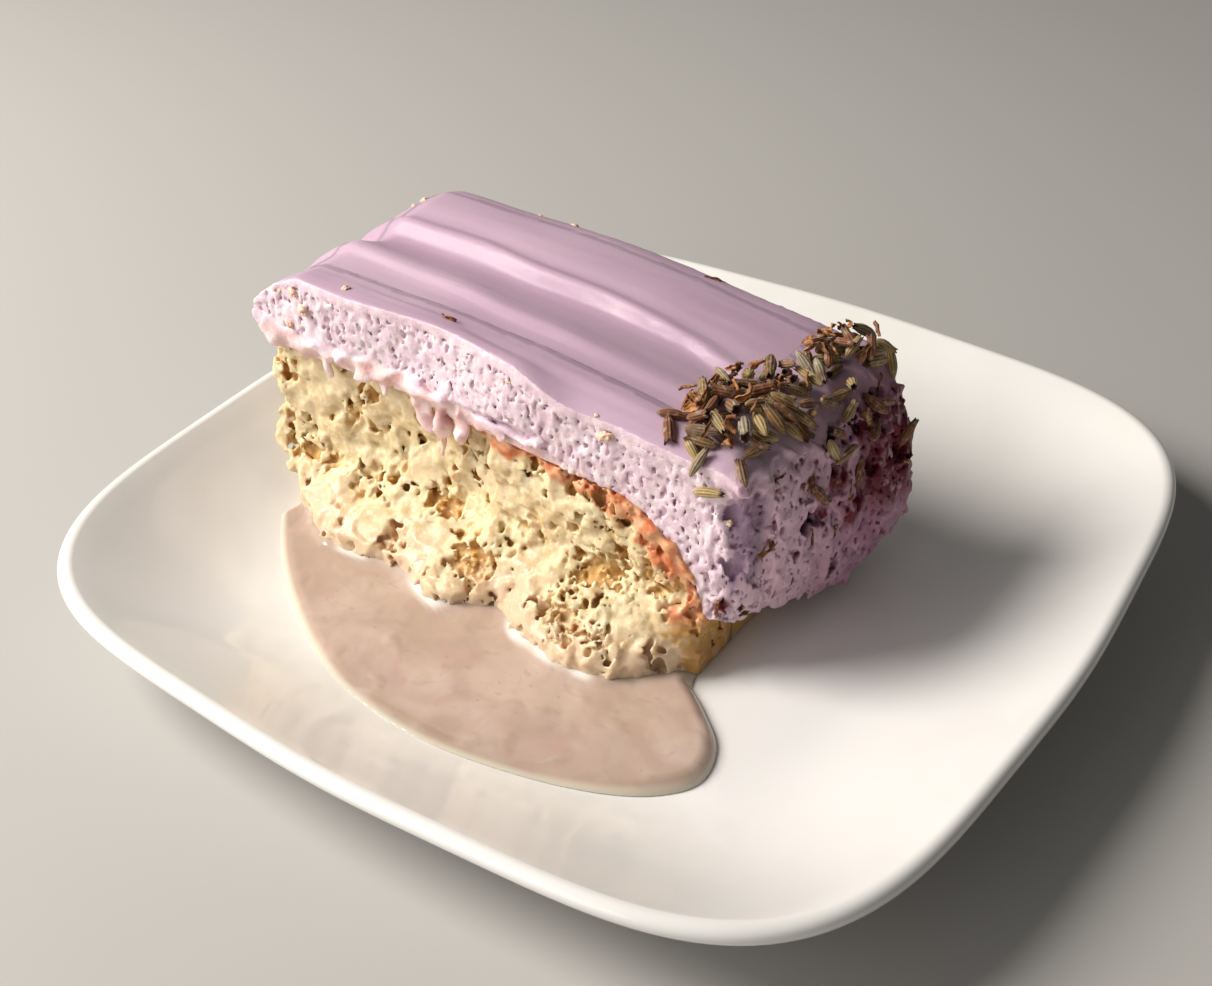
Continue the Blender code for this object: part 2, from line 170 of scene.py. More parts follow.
def plate_height(x, y):
    return well_height(math.hypot(x, y) / outline_radius(math.atan2(y, x)))


def plate_profile():
    """Shares and heights from the well's middle, over the lip and under, to the foot's middle."""
    last_share = LIP_SHARE + LIP_RADIUS * math.cos(math.radians(LIP_START)) / PLATE_HALF
    profile = [(last_share * (i + 0.02) / WELL_STEPS, well_height(last_share * i / WELL_STEPS))
               for i in range(WELL_STEPS + 1)]
    for i in range(1, LIP_STEPS + 1):
        turn = math.radians(LIP_START - LIP_SWEEP * i / LIP_STEPS)
        share = LIP_SHARE + LIP_RADIUS * math.cos(turn) / PLATE_HALF
        profile.append((share, PLATE_HEIGHT - LIP_RADIUS * (1 - math.sin(turn))))
    under = [(620, 2.0), (720, 3.6), (840, 8.0), (930, 14.2), (994, 18.8)]
    for i in range(1, UNDER_STEPS + 1):
        share = UNDER_FROM - (UNDER_FROM - UNDER_TO) * i / UNDER_STEPS
        profile.append((share, through_points(under, share)))
    foot = [(0.612, 1.2), (0.607, 0.35), (0.600, 0.05), (0.596, 0.0), (0.572, 0.0), (0.566, 0.1),
            (0.558, 0.6), (0.545, 1.4), (0.4, 1.4), (0.1, 1.4), (0.002, 1.4)]
    profile += [(share, height * MM) for share, height in foot]
    return profile


def join_node(tree, kind, inputs=None, **settings):
    """Add a node, set it, and give each input a value or a link."""
    made = tree.nodes.new(kind)
    for key, value in settings.items():
        setattr(made, key, value)
    for key, value in (inputs or {}).items():
        if isinstance(value, bpy.types.NodeSocket):
            tree.links.new(value, made.inputs[key])
        else:
            made.inputs[key].default_value = value
    return made


def reckon(tree, operation, first, second=0.0, third=0.0):
    return join_node(tree, "ShaderNodeMath", {0: first, 1: second, 2: third}, operation=operation).outputs[0]


def times(tree, first, second):
    return reckon(tree, "MULTIPLY", first, second)


def plus(tree, first, second):
    return reckon(tree, "ADD", first, second)


def minus(tree, first, second):
    return reckon(tree, "SUBTRACT", first, second)


def remap(tree, value, low, high, out_low=0.0, out_high=1.0):
    ends = {"Value": value, "From Min": low, "From Max": high, "To Min": out_low, "To Max": out_high}
    return join_node(tree, "ShaderNodeMapRange", ends, interpolation_type="SMOOTHSTEP").outputs[0]


def blend_colours(tree, share, first, second, blend_type="MIX"):
    mix = join_node(tree, "ShaderNodeMix", {"Factor": share}, data_type="RGBA", blend_type=blend_type)
    for socket, value in ((mix.inputs[6], first), (mix.inputs[7], second)):
        if isinstance(value, bpy.types.NodeSocket):
            tree.links.new(value, socket)
        else:
            socket.default_value = (*value, 1)
    return mix.outputs[2]


def grain(tree, cell, detail=2.0, rough=0.5, stretch=(1, 1, 1), warp=0.0):
    """Noise from 0 to 1 on Object coordinates, cell in metres."""
    place = join_node(tree, "ShaderNodeTexCoord").outputs["Object"]
    scaled = join_node(tree, "ShaderNodeMapping", {"Vector": place, "Scale": Vector(stretch) / cell})
    spread = {"Vector": scaled.outputs[0], "Scale": 1.0, "Detail": detail, "Roughness": rough,
              "Distortion": warp}
    return join_node(tree, "ShaderNodeTexNoise", spread).outputs[0]


def add_bump(tree, shader, height, depth, strength=1.0):
    bump = join_node(tree, "ShaderNodeBump", {"Height": height, "Distance": depth, "Strength": strength})
    tree.links.new(bump.outputs[0], shader.inputs["Normal"])


def new_tree(name, sizes):
    """An empty tree of geometry nodes with a named number for each size."""
    tree = bpy.data.node_groups.new(name, "GeometryNodeTree")
    tree.interface.new_socket("Geometry", in_out="INPUT", socket_type="NodeSocketGeometry")
    for label in sizes:
        tree.interface.new_socket(label, in_out="INPUT", socket_type="NodeSocketFloat")
    tree.interface.new_socket("Geometry", in_out="OUTPUT", socket_type="NodeSocketGeometry")
    entry = tree.nodes.new("NodeGroupInput")
    leave = tree.nodes.new("NodeGroupOutput")
    return tree, entry, leave


def end_tree(tree, shape, finish, leave):
    real = join_node(tree, "GeometryNodeRealizeInstances", {"Geometry": shape})
    shaded = join_node(tree, "GeometryNodeSetShadeSmooth", {"Geometry": real.outputs[0]})
    coated = join_node(tree, "GeometryNodeSetMaterial", {"Geometry": shaded.outputs[0], "Material": finish})
    tree.links.new(coated.outputs[0], leave.inputs[0])


def shape_object(name, places, faces):
    mesh = bpy.data.meshes.new(name)
    mesh.from_pydata(places, [], faces)
    made = bpy.data.objects.new(name, mesh)
    bpy.context.scene.collection.objects.link(made)
    return made


def take_shape(source, name):
    """The evaluated object as a plain mesh of its own; the source goes."""
    view = bpy.context.evaluated_depsgraph_get()
    mesh = bpy.data.meshes.new_from_object(source.evaluated_get(view))
    bpy.data.objects.remove(source)
    made = bpy.data.objects.new(name, mesh)
    bpy.context.scene.collection.objects.link(made)
    return made


def grow(source, name, tree, sizes):
    """Run a tree on the source with its named sizes."""
    change = source.modifiers.new(name, "NODES")
    change.node_group = tree
    for item in tree.interface.items_tree:
        if item.in_out == "INPUT" and item.name in sizes:
            change[item.identifier] = float(sizes[item.name])
    return take_shape(source, name)


def face_outwards(piece):
    mesh = bmesh.new()
    mesh.from_mesh(piece.data)
    bmesh.ops.remove_doubles(mesh, verts=mesh.verts, dist=0.002 * MM)
    bmesh.ops.recalc_face_normals(mesh, faces=mesh.faces)
    mesh.to_mesh(piece.data)
    mesh.free()
    piece.data.shade_smooth()


def porcelain():
    finish, tree, shader = new_finish("porcelain_glaze", 0.1, IOR=1.5, Coat_Weight=0.25, Coat_Roughness=0.04)
    cloud = remap(tree, grain(tree, 45 * MM, 3.0), 0.3, 0.7)
    warm = blend_colours(tree, cloud, (0.80, 0.79, 0.765), (0.845, 0.84, 0.83))
    tree.links.new(warm, shader.inputs["Base Color"])
    sheen = remap(tree, grain(tree, 12 * MM, 4.0), 0.3, 0.7, 0.07, 0.15)
    tree.links.new(sheen, shader.inputs["Roughness"])
    add_bump(tree, shader, grain(tree, 7 * MM, 2.0), 0.02 * MM, 0.15)
    return finish


angles = [math.tau * i / PLATE_SEGMENTS for i in range(PLATE_SEGMENTS)]
sections = plate_profile()
sheet_places = [(angle, share, height) for share, height in sections for angle in angles]
sheet_faces = []
for ring in range(len(sections) - 1):
    for i in range(PLATE_SEGMENTS):
        j = (i + 1) % PLATE_SEGMENTS
        base = ring * PLATE_SEGMENTS
        sheet_faces.append((base + j, base + i, base + PLATE_SEGMENTS + i, base + PLATE_SEGMENTS + j))
sheet_faces.append(tuple(range(PLATE_SEGMENTS)))
last_ring = (len(sections) - 1) * PLATE_SEGMENTS
sheet_faces.append(tuple(reversed(range(last_ring, last_ring + PLATE_SEGMENTS))))
plate_sheet = shape_object("plate_sheet", sheet_places, sheet_faces)

plate_sizes = {"Half Width": PLATE_HALF, "Squareness": PLATE_SQUARENESS, "Ripple": PLATE_RIPPLE}
wrap, wrap_in, wrap_out = new_tree("wrap_plate", plate_sizes)
spot = join_node(wrap, "GeometryNodeInputPosition").outputs[0]
parts = join_node(wrap, "ShaderNodeSeparateXYZ", {0: spot}).outputs
turn_cos = reckon(wrap, "COSINE", parts[0])
turn_sin = reckon(wrap, "SINE", parts[0])
powers = [reckon(wrap, "POWER", reckon(wrap, "ABSOLUTE", side), wrap_in.outputs["Squareness"])
          for side in (turn_cos, turn_sin)]
root_power = reckon(wrap, "DIVIDE", -1.0, wrap_in.outputs["Squareness"])
squared = reckon(wrap, "POWER", plus(wrap, powers[0], powers[1]), root_power)
waves = reckon(wrap, "COSINE", times(wrap, parts[0], 8.0))
waved = reckon(wrap, "MULTIPLY_ADD", waves, wrap_in.outputs["Ripple"], 1.0)
reach = times(wrap, times(wrap, squared, waved), wrap_in.outputs["Half Width"])
reach = times(wrap, reach, parts[1])
wrapped_x = times(wrap, reach, turn_cos)
wrapped_y = times(wrap, reach, turn_sin)
wrapped = join_node(wrap, "ShaderNodeCombineXYZ", {0: wrapped_x, 1: wrapped_y, 2: parts[2]})
moved = join_node(wrap, "GeometryNodeSetPosition",
                  {"Geometry": wrap_in.outputs[0], "Position": wrapped.outputs[0]})
end_tree(wrap, moved.outputs[0], porcelain(), wrap_out)
plate = grow(plate_sheet, "plate_glazed", wrap, plate_sizes)
face_outwards(plate)
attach(plate, "root")
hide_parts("plate")


# Milk
# The three-milk soak that ran out of the cake: thick, pinkish beige and wet. It stands a little over
# two millimetres deep with a round edge, and climbs where it meets the crumb; a painted highlight lines that
# edge.

MILK_LEVEL = 7.6 * MM
MILK_FILM = 1.1 * MM
MILK_ALONG = 260
MILK_ACROSS = 54
MILK_UNDER_CAKE = 3.0 * MM
FOOT_LEFT = -70 * MM
FOOT_RIGHT = 32.6 * MM
# The sponge's foot in the milk and the pool's edge, from left to right in millimetres
FOOT_FRONT = [(-70, -31), (-56, -38), (-37, -36.5), (-22, -41), (-11, -34.5), (-1, -40), (10, -42),
              (19, -41.5), (25, -35), (32.6, -26)]
POOL_EDGE = [(-71, -36), (-62, -45.5), (-50, -55), (-34, -64.5), (-18, -70.7), (0, -73), (17, -70.5),
             (32, -65.5), (43, -59), (48.7, -51), (46.5, -41.5), (39.5, -34.5), (33.4, -30)]


def curve_point(points, share):
    place = share * (len(points) - 1)
    i = min(int(place), len(points) - 2)
    t = place - i
    before = Vector(points[max(0, i - 1)])
    start = Vector(points[i])
    end = Vector(points[i + 1])
    after = Vector(points[min(len(points) - 1, i + 2)])
    out = 0.5 * ((2 * start) + (end - before) * t + (2 * before - 5 * start + 4 * end - after) * t ** 2
                 + (3 * start - before - 3 * end + after) * t ** 3)
    return out * MM


def noise_at(place, cell, seed):
    return noise.noise(Vector(place) / cell + Vector((seed, seed * 0.7, -seed)))


def distance_to(line, place):
    return float(np.hypot(line[:, 0] - place.x, line[:, 1] - place.y).min())


pool_line = np.array([tuple(curve_point(POOL_EDGE, k / 600)) for k in range(601)])
foot_line = np.array([(x, through_points(FOOT_FRONT, x)) for x in np.linspace(FOOT_LEFT, FOOT_RIGHT, 600)])


def milk_place(i, j):
    """Place on the milk's top face, its distance from the edge, and the painted highlight it gets near the
    crumb.
    """
    share_along = i / MILK_ALONG
    x = FOOT_LEFT + 1 * MM + (FOOT_RIGHT - FOOT_LEFT - 2 * MM) * share_along
    foot = Vector((x, through_points(FOOT_FRONT, x)))
    inner = foot + Vector((0, MILK_UNDER_CAKE))
    outer = curve_point(POOL_EDGE, share_along)
    share = 1 - (1 - j / MILK_ACROSS) ** 1.7
    place = inner.lerp(outer, share)
    from_edge = distance_to(pool_line, place)
    if share_along < 0.04:
        from_edge = min(from_edge, (place - inner).length + MILK_UNDER_CAKE)
    under = plate_height(place.x, place.y) + 0.05 * MM
    depth = max(MILK_LEVEL - under, MILK_FILM) * smooth(0.15 + (1 - share_along) / 0.05)
    roll = min(1.0, from_edge / (3.2 * MM))
    edge = (1 - (1 - roll) ** 2) ** 0.72
    under_cake = place.x < FOOT_RIGHT and place.y > through_points(FOOT_FRONT, place.x)
    beyond_foot = 0.0 if under_cake else distance_to(foot_line, place)
    climb = 0.9 * MM * math.exp(-beyond_foot / (1.3 * MM)) * smooth((0.95 - share_along) / 0.08)
    ripple = 0.16 * MM * noise_at((place.x, place.y, 0), 8 * MM, 5) * roll
    lumps = 0.22 * MM * smooth((noise_at((place.x, place.y, 0), 5.5 * MM, 12) - 0.2) / 0.4) * roll
    # Painted highlight: a thin pale line along the crumb's foot, where the milk's meniscus would catch the
    # light
    shore = (1 - smooth(beyond_foot / (1.7 * MM))) * smooth(0.5 + 1.6 * noise_at((place.x, 0, 0), 6 * MM, 15))
    shore *= smooth((0.92 - share_along) / 0.06)
    height = under + depth * edge + (climb + ripple + lumps) * edge
    return Vector((place.x, place.y, height)), from_edge, shore


def attribute(tree, name):
    return join_node(tree, "ShaderNodeAttribute", attribute_name=name).outputs["Fac"]


def give_attribute(piece, name, values):
    made = piece.data.attributes.new(name, "FLOAT", "POINT")
    made.data.foreach_set("value", values)


milk_tops = []
milk_edges = []
milk_glints = []
for i in range(MILK_ALONG + 1):
    for j in range(MILK_ACROSS + 1):
        place, from_edge, shore = milk_place(i, j)
        milk_tops.append(place)
        milk_glints.append(shore)
        milk_edges.append(min(1.0, from_edge / (4 * MM)))
milk_feet = [Vector((top.x, top.y, plate_height(top.x, top.y) + 0.02 * MM)) for top in milk_tops]
milk_row = MILK_ACROSS + 1
milk_count = len(milk_tops)
milk_faces = []
for i in range(MILK_ALONG):
    for j in range(MILK_ACROSS):
        corner = i * milk_row + j
        milk_faces.append((corner, corner + 1, corner + milk_row + 1, corner + milk_row))
        milk_faces.append(tuple(milk_count + c for c in reversed(milk_faces[-1])))
    here = i * milk_row
    after = here + milk_row
    milk_faces.append((here, after, milk_count + after, milk_count + here))
for j in range(MILK_ACROSS):
    for start in (0, MILK_ALONG * milk_row):
        corner = start + j
        milk_faces.append((corner, corner + 1, milk_count + corner + 1, milk_count + corner))
milk_foot_of = {}
for i in range(MILK_ALONG + 1):
    rim = i * milk_row + MILK_ACROSS
    milk_foot_of[milk_count + rim] = rim
milk_faces = [tuple(dict.fromkeys(milk_foot_of.get(c, c) for c in face)) for face in milk_faces]
milk = shape_object("milk_surface", milk_tops + milk_feet, [face for face in milk_faces if len(face) > 2])
give_attribute(milk, "rim", milk_edges + milk_edges)
give_attribute(milk, "shore", milk_glints + milk_glints)
face_outwards(milk)


def milk_finish():
    finish, tree, shader = new_finish("milk_soak", 0.12, IOR=1.36, Subsurface_Weight=0.35,
                                      Subsurface_Scale=0.004, Coat_Weight=0.5, Coat_Roughness=0.03)
    shader.inputs["Subsurface Radius"].default_value = (1.0, 0.6, 0.4)
    body = blend_colours(tree, remap(tree, grain(tree, 14 * MM, 3.0, warp=0.6), 0.35, 0.7),
                         (0.47, 0.35, 0.28), (0.56, 0.44, 0.365))
    rosy = blend_colours(tree, remap(tree, grain(tree, 6 * MM, 2.0, warp=1.0), 0.56, 0.72, 0.0, 0.6),
                         body, (0.50, 0.335, 0.30))
    fleck = remap(tree, grain(tree, 1.6 * MM, 1.0), 0.73, 0.79, 0.0, 0.5)
    speckled = blend_colours(tree, fleck, rosy, (0.36, 0.27, 0.29))
    sunk = remap(tree, grain(tree, 4.2 * MM, 1.0, stretch=(1, 1.5, 1)), 0.66, 0.73, 0.0, 0.45)
    speckled = blend_colours(tree, sunk, speckled, (0.42, 0.33, 0.28))
    # Painted highlight: the milk turns pale along the crumb's foot
    speckled = blend_colours(tree, attribute(tree, "shore"), speckled, (0.90, 0.84, 0.79))
    inwards = remap(tree, attribute(tree, "rim"), 0.0, 0.45)
    creamy = blend_colours(tree, inwards, (0.74, 0.64, 0.51), speckled)
    tree.links.new(creamy, shader.inputs["Base Color"])
    add_bump(tree, shader, grain(tree, 5 * MM, 3.0), 0.12 * MM, 0.3)
    return finish


milk.data.materials.append(milk_finish())
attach(milk, "root")
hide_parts("milk_pool")


# Sponge
# Milk-soaked sponge, torn rather than cut on the side that shows: open crumb with bubbles of many
# sizes, a browned crust line under the cream, and a soft wet foot standing in the milk.

SPONGE_VOXEL = 0.30 * MM
SPONGE_LIMIT = 190000
SCRAP_AREA = 130 * MM * MM
SPONGE_TOP = 45 * MM
SPONGE_TOP_FALL = 0.085
SPONGE_FALL_FROM = -45 * MM
TIN_RADIUS = 24 * MM
SPONGE_RIGHT = 32.6 * MM
# Middle and half sizes of the deepest holes in the torn face, in millimetres
DEEP_HOLES = [((-4.5, -26, 13.5), (2.6, 4.0, 1.5)), ((-0.8, -26, 12.0), (1.8, 4.0, 1.9)),
              ((2.0, -26, 28.5), (1.3, 4.0, 1.5)), ((-10.5, -26, 23.5), (2.1, 3.0, 1.6)),
              ((-15.2, -28, 13.5), (1.7, 3.0, 1.5)), ((2.2, -29, 12.5), (3.2, 3.0, 2.0)),
              ((13.0, -30, 15.5), (3.6, 3.0, 3.0)), ((-33.0, -27, 11.5), (1.3, 4.0, 1.7)),
              ((-22.0, -23, 24.0), (1.2, 4.0, 1.4)), ((-60.0, -27, 9.5), (2.8, 3.0, 1.7)),
              ((-43.0, -22, 19.0), (2.2, 3.0, 2.0)), ((9.8, -39.5, 7.3), (1.8, 2.0, 0.9)),
              ((-71.5, -25, 27.5), (1.4, 3.0, 1.8)), ((-29.0, -22, 33.0), (1.0, 2.5, 1.3)),
              ((-50.0, -23, 31.0), (1.3, 2.5, 1.2)), ((18.0, -27, 22.0), (1.5, 2.5, 1.1))]


def merged_copy(node_name):
    """A loose copy of a solid of the frame, with its triangles joined up."""
    made = bpy.data.objects.new(node_name + "_form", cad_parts[node_name].data.copy())
    bpy.context.scene.collection.objects.link(made)
    face_outwards(made)
    return made


def depth_in(tree, form, spot):
    """Depth under the form's surface in millimetres, positive inside."""
    nearest = {0: form, "Sample Position": spot}
    near = join_node(tree, "GeometryNodeProximity", nearest, target_element="FACES")
    ray = {0: form, "Source Position": spot, "Ray Direction": (0, 0, 1), "Ray Length": 1.0}
    beam = join_node(tree, "GeometryNodeRaycast", ray)
    rising = join_node(tree, "ShaderNodeSeparateXYZ", {0: beam.outputs["Hit Normal"]}).outputs[2]
    inside = times(tree, beam.outputs["Is Hit"], reckon(tree, "GREATER_THAN", rising, 0.0))
    side = reckon(tree, "MULTIPLY_ADD", inside, 2000.0, -1000.0)
    return times(tree, near.outputs["Distance"], side)


def reckon_vector(tree, operation, first, second=(0, 0, 0), third=(0, 0, 0), output=0):
    values = {0: first, 1: second, 2: third}
    return join_node(tree, "ShaderNodeVectorMath", values, operation=operation).outputs[output]


def in_cells(tree, spot, cell, stretch, shift):
    """The place counted in cells of the given size, moved on by a number of them."""
    scaled = reckon_vector(tree, "MULTIPLY", spot, Vector(stretch) / cell)
    return reckon_vector(tree, "ADD", scaled, (shift, shift, shift))


def field_noise(tree, spot, cell, detail=1.0, stretch=(1, 1, 1), warp=0.0, shift=0.0):
    """Noise from about -0.5 to 0.5 with cells of the given size in metres."""
    place = in_cells(tree, spot, cell, stretch, shift)
    spread = {"Vector": place, "Scale": 1.0, "Detail": detail, "Distortion": warp}
    return minus(tree, join_node(tree, "ShaderNodeTexNoise", spread).outputs[0], 0.5)


def warp(tree, spot, cell, reach):
    """The place moved about by noise, so that what reads it comes out uneven."""
    scaled = reckon_vector(tree, "MULTIPLY", spot, (1 / cell, 1 / cell, 1 / cell))
    colour = join_node(tree, "ShaderNodeTexNoise", {"Vector": scaled, "Scale": 1.0, "Detail": 0.0})
    centred = reckon_vector(tree, "SUBTRACT", colour.outputs["Color"], (0.5, 0.5, 0.5))
    return reckon_vector(tree, "MULTIPLY_ADD", centred, (reach, reach, reach), spot)


def gaps(tree, spot, cell, limit, stretch=(1, 1, 1), shift=0.0):
    """Distance in millimetres to winding gaps, negative where the noise passes the limit."""
    level = field_noise(tree, spot, cell, 1.0, stretch, shift=shift)
    return times(tree, minus(tree, limit, level), 1.9 * cell / MM)


def bubbles(tree, spot, cell, share, small, large, stretch=(1, 1, 1), shift=0.0):
    """Distance in millimetres to the nearest bubble wall, negative inside. Sizes are shares of a cell."""
    place = in_cells(tree, spot, cell, stretch, shift)
    cells = join_node(tree, "ShaderNodeTexVoronoi", {"Vector": place, "Scale": 1.0})
    chance = join_node(tree, "ShaderNodeSeparateXYZ", {0: cells.outputs["Color"]}).outputs[0]
    spread = (large - small) / share
    radius = reckon(tree, "MULTIPLY_ADD", minus(tree, chance, 1 - share), spread, small)
    kept = reckon(tree, "GREATER_THAN", chance, 1 - share)
    radius = times(tree, radius, kept)
    gap = minus(tree, cells.outputs["Distance"], radius)
    absent = times(tree, minus(tree, 1.0, kept), 3.0)
    return times(tree, plus(tree, gap, absent), cell / MM)


def deep_hole(tree, spot, middle, half):
    """Distance in millimetres to the wall of a rounded hole, negative inside."""
    away = reckon_vector(tree, "SUBTRACT", spot, Vector(middle) * MM)
    shrunk = reckon_vector(tree, "MULTIPLY", away, [1 / (h * MM) for h in half])
    length = reckon_vector(tree, "LENGTH", shrunk, output=1)
    return times(tree, minus(tree, length, 1.0), min(half))


def carve(tree, entry, slabs, solid):
    """Mesh the skin where solid, in millimetres, is zero, in boxes of their own voxel, without scraps."""
    skins = join_node(tree, "GeometryNodeJoinGeometry")
    # The skin lies at a level of 0.5, which rises by 0.2 with each millimetre inwards
    for low, high, coarse in slabs:
        voxel = times(tree, entry.outputs["Voxel"], coarse)
        level = reckon(tree, "MULTIPLY_ADD", solid, 0.2, 0.5)
        cube = {"Density": level, "Background": 0.0, "Min": Vector(low), "Max": Vector(high)}
        block = join_node(tree, "GeometryNodeVolumeCube", cube)
        for axis, label in enumerate(("Resolution X", "Resolution Y", "Resolution Z")):
            tree.links.new(reckon(tree, "DIVIDE", high[axis] - low[axis], voxel), block.inputs[label])
        skin = join_node(tree, "GeometryNodeVolumeToMesh", {"Volume": block.outputs[0], "Threshold": 0.5})
        island = join_node(tree, "GeometryNodeInputMeshIsland").outputs["Island Index"]
        crowd = join_node(tree, "GeometryNodeAccumulateField", {"Value": 1.0, "Group ID": island})
        spread = times(tree, crowd.outputs["Total"], times(tree, voxel, voxel))
        scrap = reckon(tree, "LESS_THAN", spread, SCRAP_AREA)
        loose = {"Geometry": skin.outputs[0], "Selection": scrap}
        main = join_node(tree, "GeometryNodeDeleteGeometry", loose)
        tree.links.new(main.outputs[0], skins.inputs[0])
    return skins


def thin_out(piece, limit):
    """Bring a piece under its limit of triangles."""
    count = sum(len(face.vertices) - 2 for face in piece.data.polygons)
    if count > limit:
        change = piece.modifiers.new("thin_out", "DECIMATE")
        change.ratio = limit / count
        change.use_collapse_triangulate = True
        piece = take_shape(piece, piece.name)
    return piece


def crust_height(x):
    """Height of the crust line over the plate, flat on the left and round on the right."""
    drop = SPONGE_TOP_FALL * max(0.0, x - SPONGE_FALL_FROM)
    into = min(1.0, max(0.0, (x - (SPONGE_RIGHT - TIN_RADIUS)) / TIN_RADIUS))
    return SPONGE_TOP - drop - TIN_RADIUS * (1 - math.sqrt(1 - into * into))


def depth_at(skin, place):
    """Depth in millimetres under a skin, positive inside, and the way the skin faces there."""
    near, normal, _, away = skin.find_nearest(place)
    return (away if (near - place).dot(normal) > 0 else -away) / MM, normal


def object_axes(tree):
    place = join_node(tree, "ShaderNodeTexCoord").outputs["Object"]
    return join_node(tree, "ShaderNodeSeparateXYZ", {0: place}).outputs


def crumb_finish():
    finish, tree, shader = new_finish("soaked_crumb", 0.55, IOR=1.4, Subsurface_Weight=0.4,
                                      Subsurface_Scale=0.003)
    shader.inputs["Subsurface Radius"].default_value = (1.0, 0.55, 0.25)
    deep = attribute(tree, "depth")
    wet = attribute(tree, "wet")
    crust = attribute(tree, "crust")
    light = blend_colours(tree, remap(tree, grain(tree, 9 * MM, 2.0), 0.35, 0.68), (0.65, 0.50, 0.275),
                          (0.74, 0.60, 0.38))
    fine = blend_colours(tree, remap(tree, grain(tree, 1.4 * MM, 3.0), 0.4, 0.72), light, (0.81, 0.70, 0.48))
    # Painted shade: the crumb turns darker golden brown the deeper it lies under the block's surface, in its
    # holes and pores
    recess_shaded = blend_colours(tree, remap(tree, deep, 0.35, 2.0), fine, (0.66, 0.43, 0.16))
    pit = blend_colours(tree, remap(tree, deep, 2.0, 4.0), recess_shaded, (0.56, 0.27, 0.06))
    damp = blend_colours(tree, times(tree, wet, 0.75), pit, (0.70, 0.51, 0.36))
    patchy = times(tree, crust, remap(tree, grain(tree, 2.4 * MM, 3.0), 0.25, 0.55, 0.55, 1.0))
    brown = blend_colours(tree, remap(tree, grain(tree, 3 * MM, 3.0), 0.3, 0.7), (0.56, 0.15, 0.05),
                          (0.77, 0.42, 0.23))
    low_down = remap(tree, object_axes(tree)[2], 20 * MM, 15 * MM)
    brown = blend_colours(tree, low_down, brown, (0.52, 0.28, 0.075))
    tree.links.new(blend_colours(tree, patchy, damp, brown), shader.inputs["Base Color"])
    dry = remap(tree, grain(tree, 4 * MM, 2.0), 0.35, 0.65, 0.32, 0.62)
    rough = times(tree, dry, remap(tree, wet, 0.0, 1.0, 1.0, 0.4))
    tree.links.new(rough, shader.inputs["Roughness"])
    add_bump(tree, shader, grain(tree, 0.55 * MM, 2.0), 0.16 * MM, 0.6)
    return finish


sponge_form = merged_copy("sponge")
sponge_tree_of = BVHTree.FromObject(sponge_form, bpy.context.evaluated_depsgraph_get())
sponge_low, sponge_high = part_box("sponge")
sponge_sizes = {"Voxel": SPONGE_VOXEL, "Lump Height": 3.1, "Crumb Height": 0.9}
torn, torn_in, torn_out = new_tree("torn_crumb", sponge_sizes)
spot = join_node(torn, "GeometryNodeInputPosition").outputs[0]
depth = depth_in(torn, torn_in.outputs[0], spot)
axes = join_node(torn, "ShaderNodeSeparateXYZ", {0: spot}).outputs
front = remap(torn, axes[1], -14 * MM, -17 * MM)
back = remap(torn, axes[1], 23 * MM, 26 * MM)
left = remap(torn, axes[0], -70 * MM, -74 * MM)
open_side = reckon(torn, "MAXIMUM", reckon(torn, "MAXIMUM", front, back), left)
off_plate = remap(torn, axes[2], 5.2 * MM, 8 * MM)
open_side = times(torn, open_side, off_plate)
wet_foot = remap(torn, axes[2], 18 * MM, 9 * MM)
crisp = remap(torn, axes[0], -30 * MM, -12 * MM, 0.55, 1.0)
crisp = times(torn, crisp, reckon(torn, "MULTIPLY_ADD", wet_foot, -0.35, 1.0))
lumps = field_noise(torn, spot, 4.8 * MM, 1.0, warp=0.5)
lumps = times(torn, lumps, torn_in.outputs["Lump Height"])
crumbs = field_noise(torn, spot, 1.5 * MM, 1.0, shift=7.0)
crumbs = times(torn, crumbs, torn_in.outputs["Crumb Height"])
crumbs = times(torn, crumbs, crisp)
relief = plus(torn, lumps, crumbs)
relief = times(torn, minus(torn, relief, 0.1), open_side)
body = plus(torn, depth, relief)
uneven = warp(torn, spot, 1.6 * MM, 2.3 * MM)
pore = gaps(torn, spot, 3.0 * MM, 0.12, (1, 1, 0.85))
softened = reckon(torn, "MULTIPLY_ADD", crisp, -0.7, 0.7)
fine_gaps = plus(torn, gaps(torn, spot, 1.3 * MM, 0.16, shift=3.0), softened)
pore = reckon(torn, "MINIMUM", pore, fine_gaps)
round_holes = bubbles(torn, uneven, 4.4 * MM, 0.40, 0.17, 0.42, (1.1, 0.8, 0.8), 4.0)
pore = reckon(torn, "MINIMUM", pore, round_holes)
pore = reckon(torn, "MULTIPLY_ADD", wet_foot, 0.15, pore)
dense = field_noise(torn, spot, 10 * MM, 0.0, shift=11.0)
pore = reckon(torn, "MULTIPLY_ADD", dense, 2.6, pore)
for middle, half in DEEP_HOLES:
    pore = reckon(torn, "MINIMUM", pore, deep_hole(torn, uneven, middle, half))
too_deep = reckon(torn, "MAXIMUM", reckon(torn, "MULTIPLY_ADD", depth, 1.2, -3.0), 0.0)
covered = times(torn, minus(torn, 1.0, open_side), 6.0)
pore = plus(torn, pore, plus(torn, too_deep, covered))
body = reckon(torn, "SMOOTH_MIN", body, pore, 0.35)
margin = Vector((3, 3, 1.5)) * MM
low = Vector(sponge_low) - margin
high = Vector(sponge_high) + margin
split = -14 * MM
crumb_slabs = [(low, (high.x, split + 1 * MM, high.z), 1.0), ((low.x, split, low.z), high, 1.9)]
end_tree(torn, carve(torn, torn_in, crumb_slabs, body).outputs[0], crumb_finish(), torn_out)
sponge = grow(sponge_form, "sponge_crumb", torn, sponge_sizes)
sponge = thin_out(sponge, SPONGE_LIMIT)

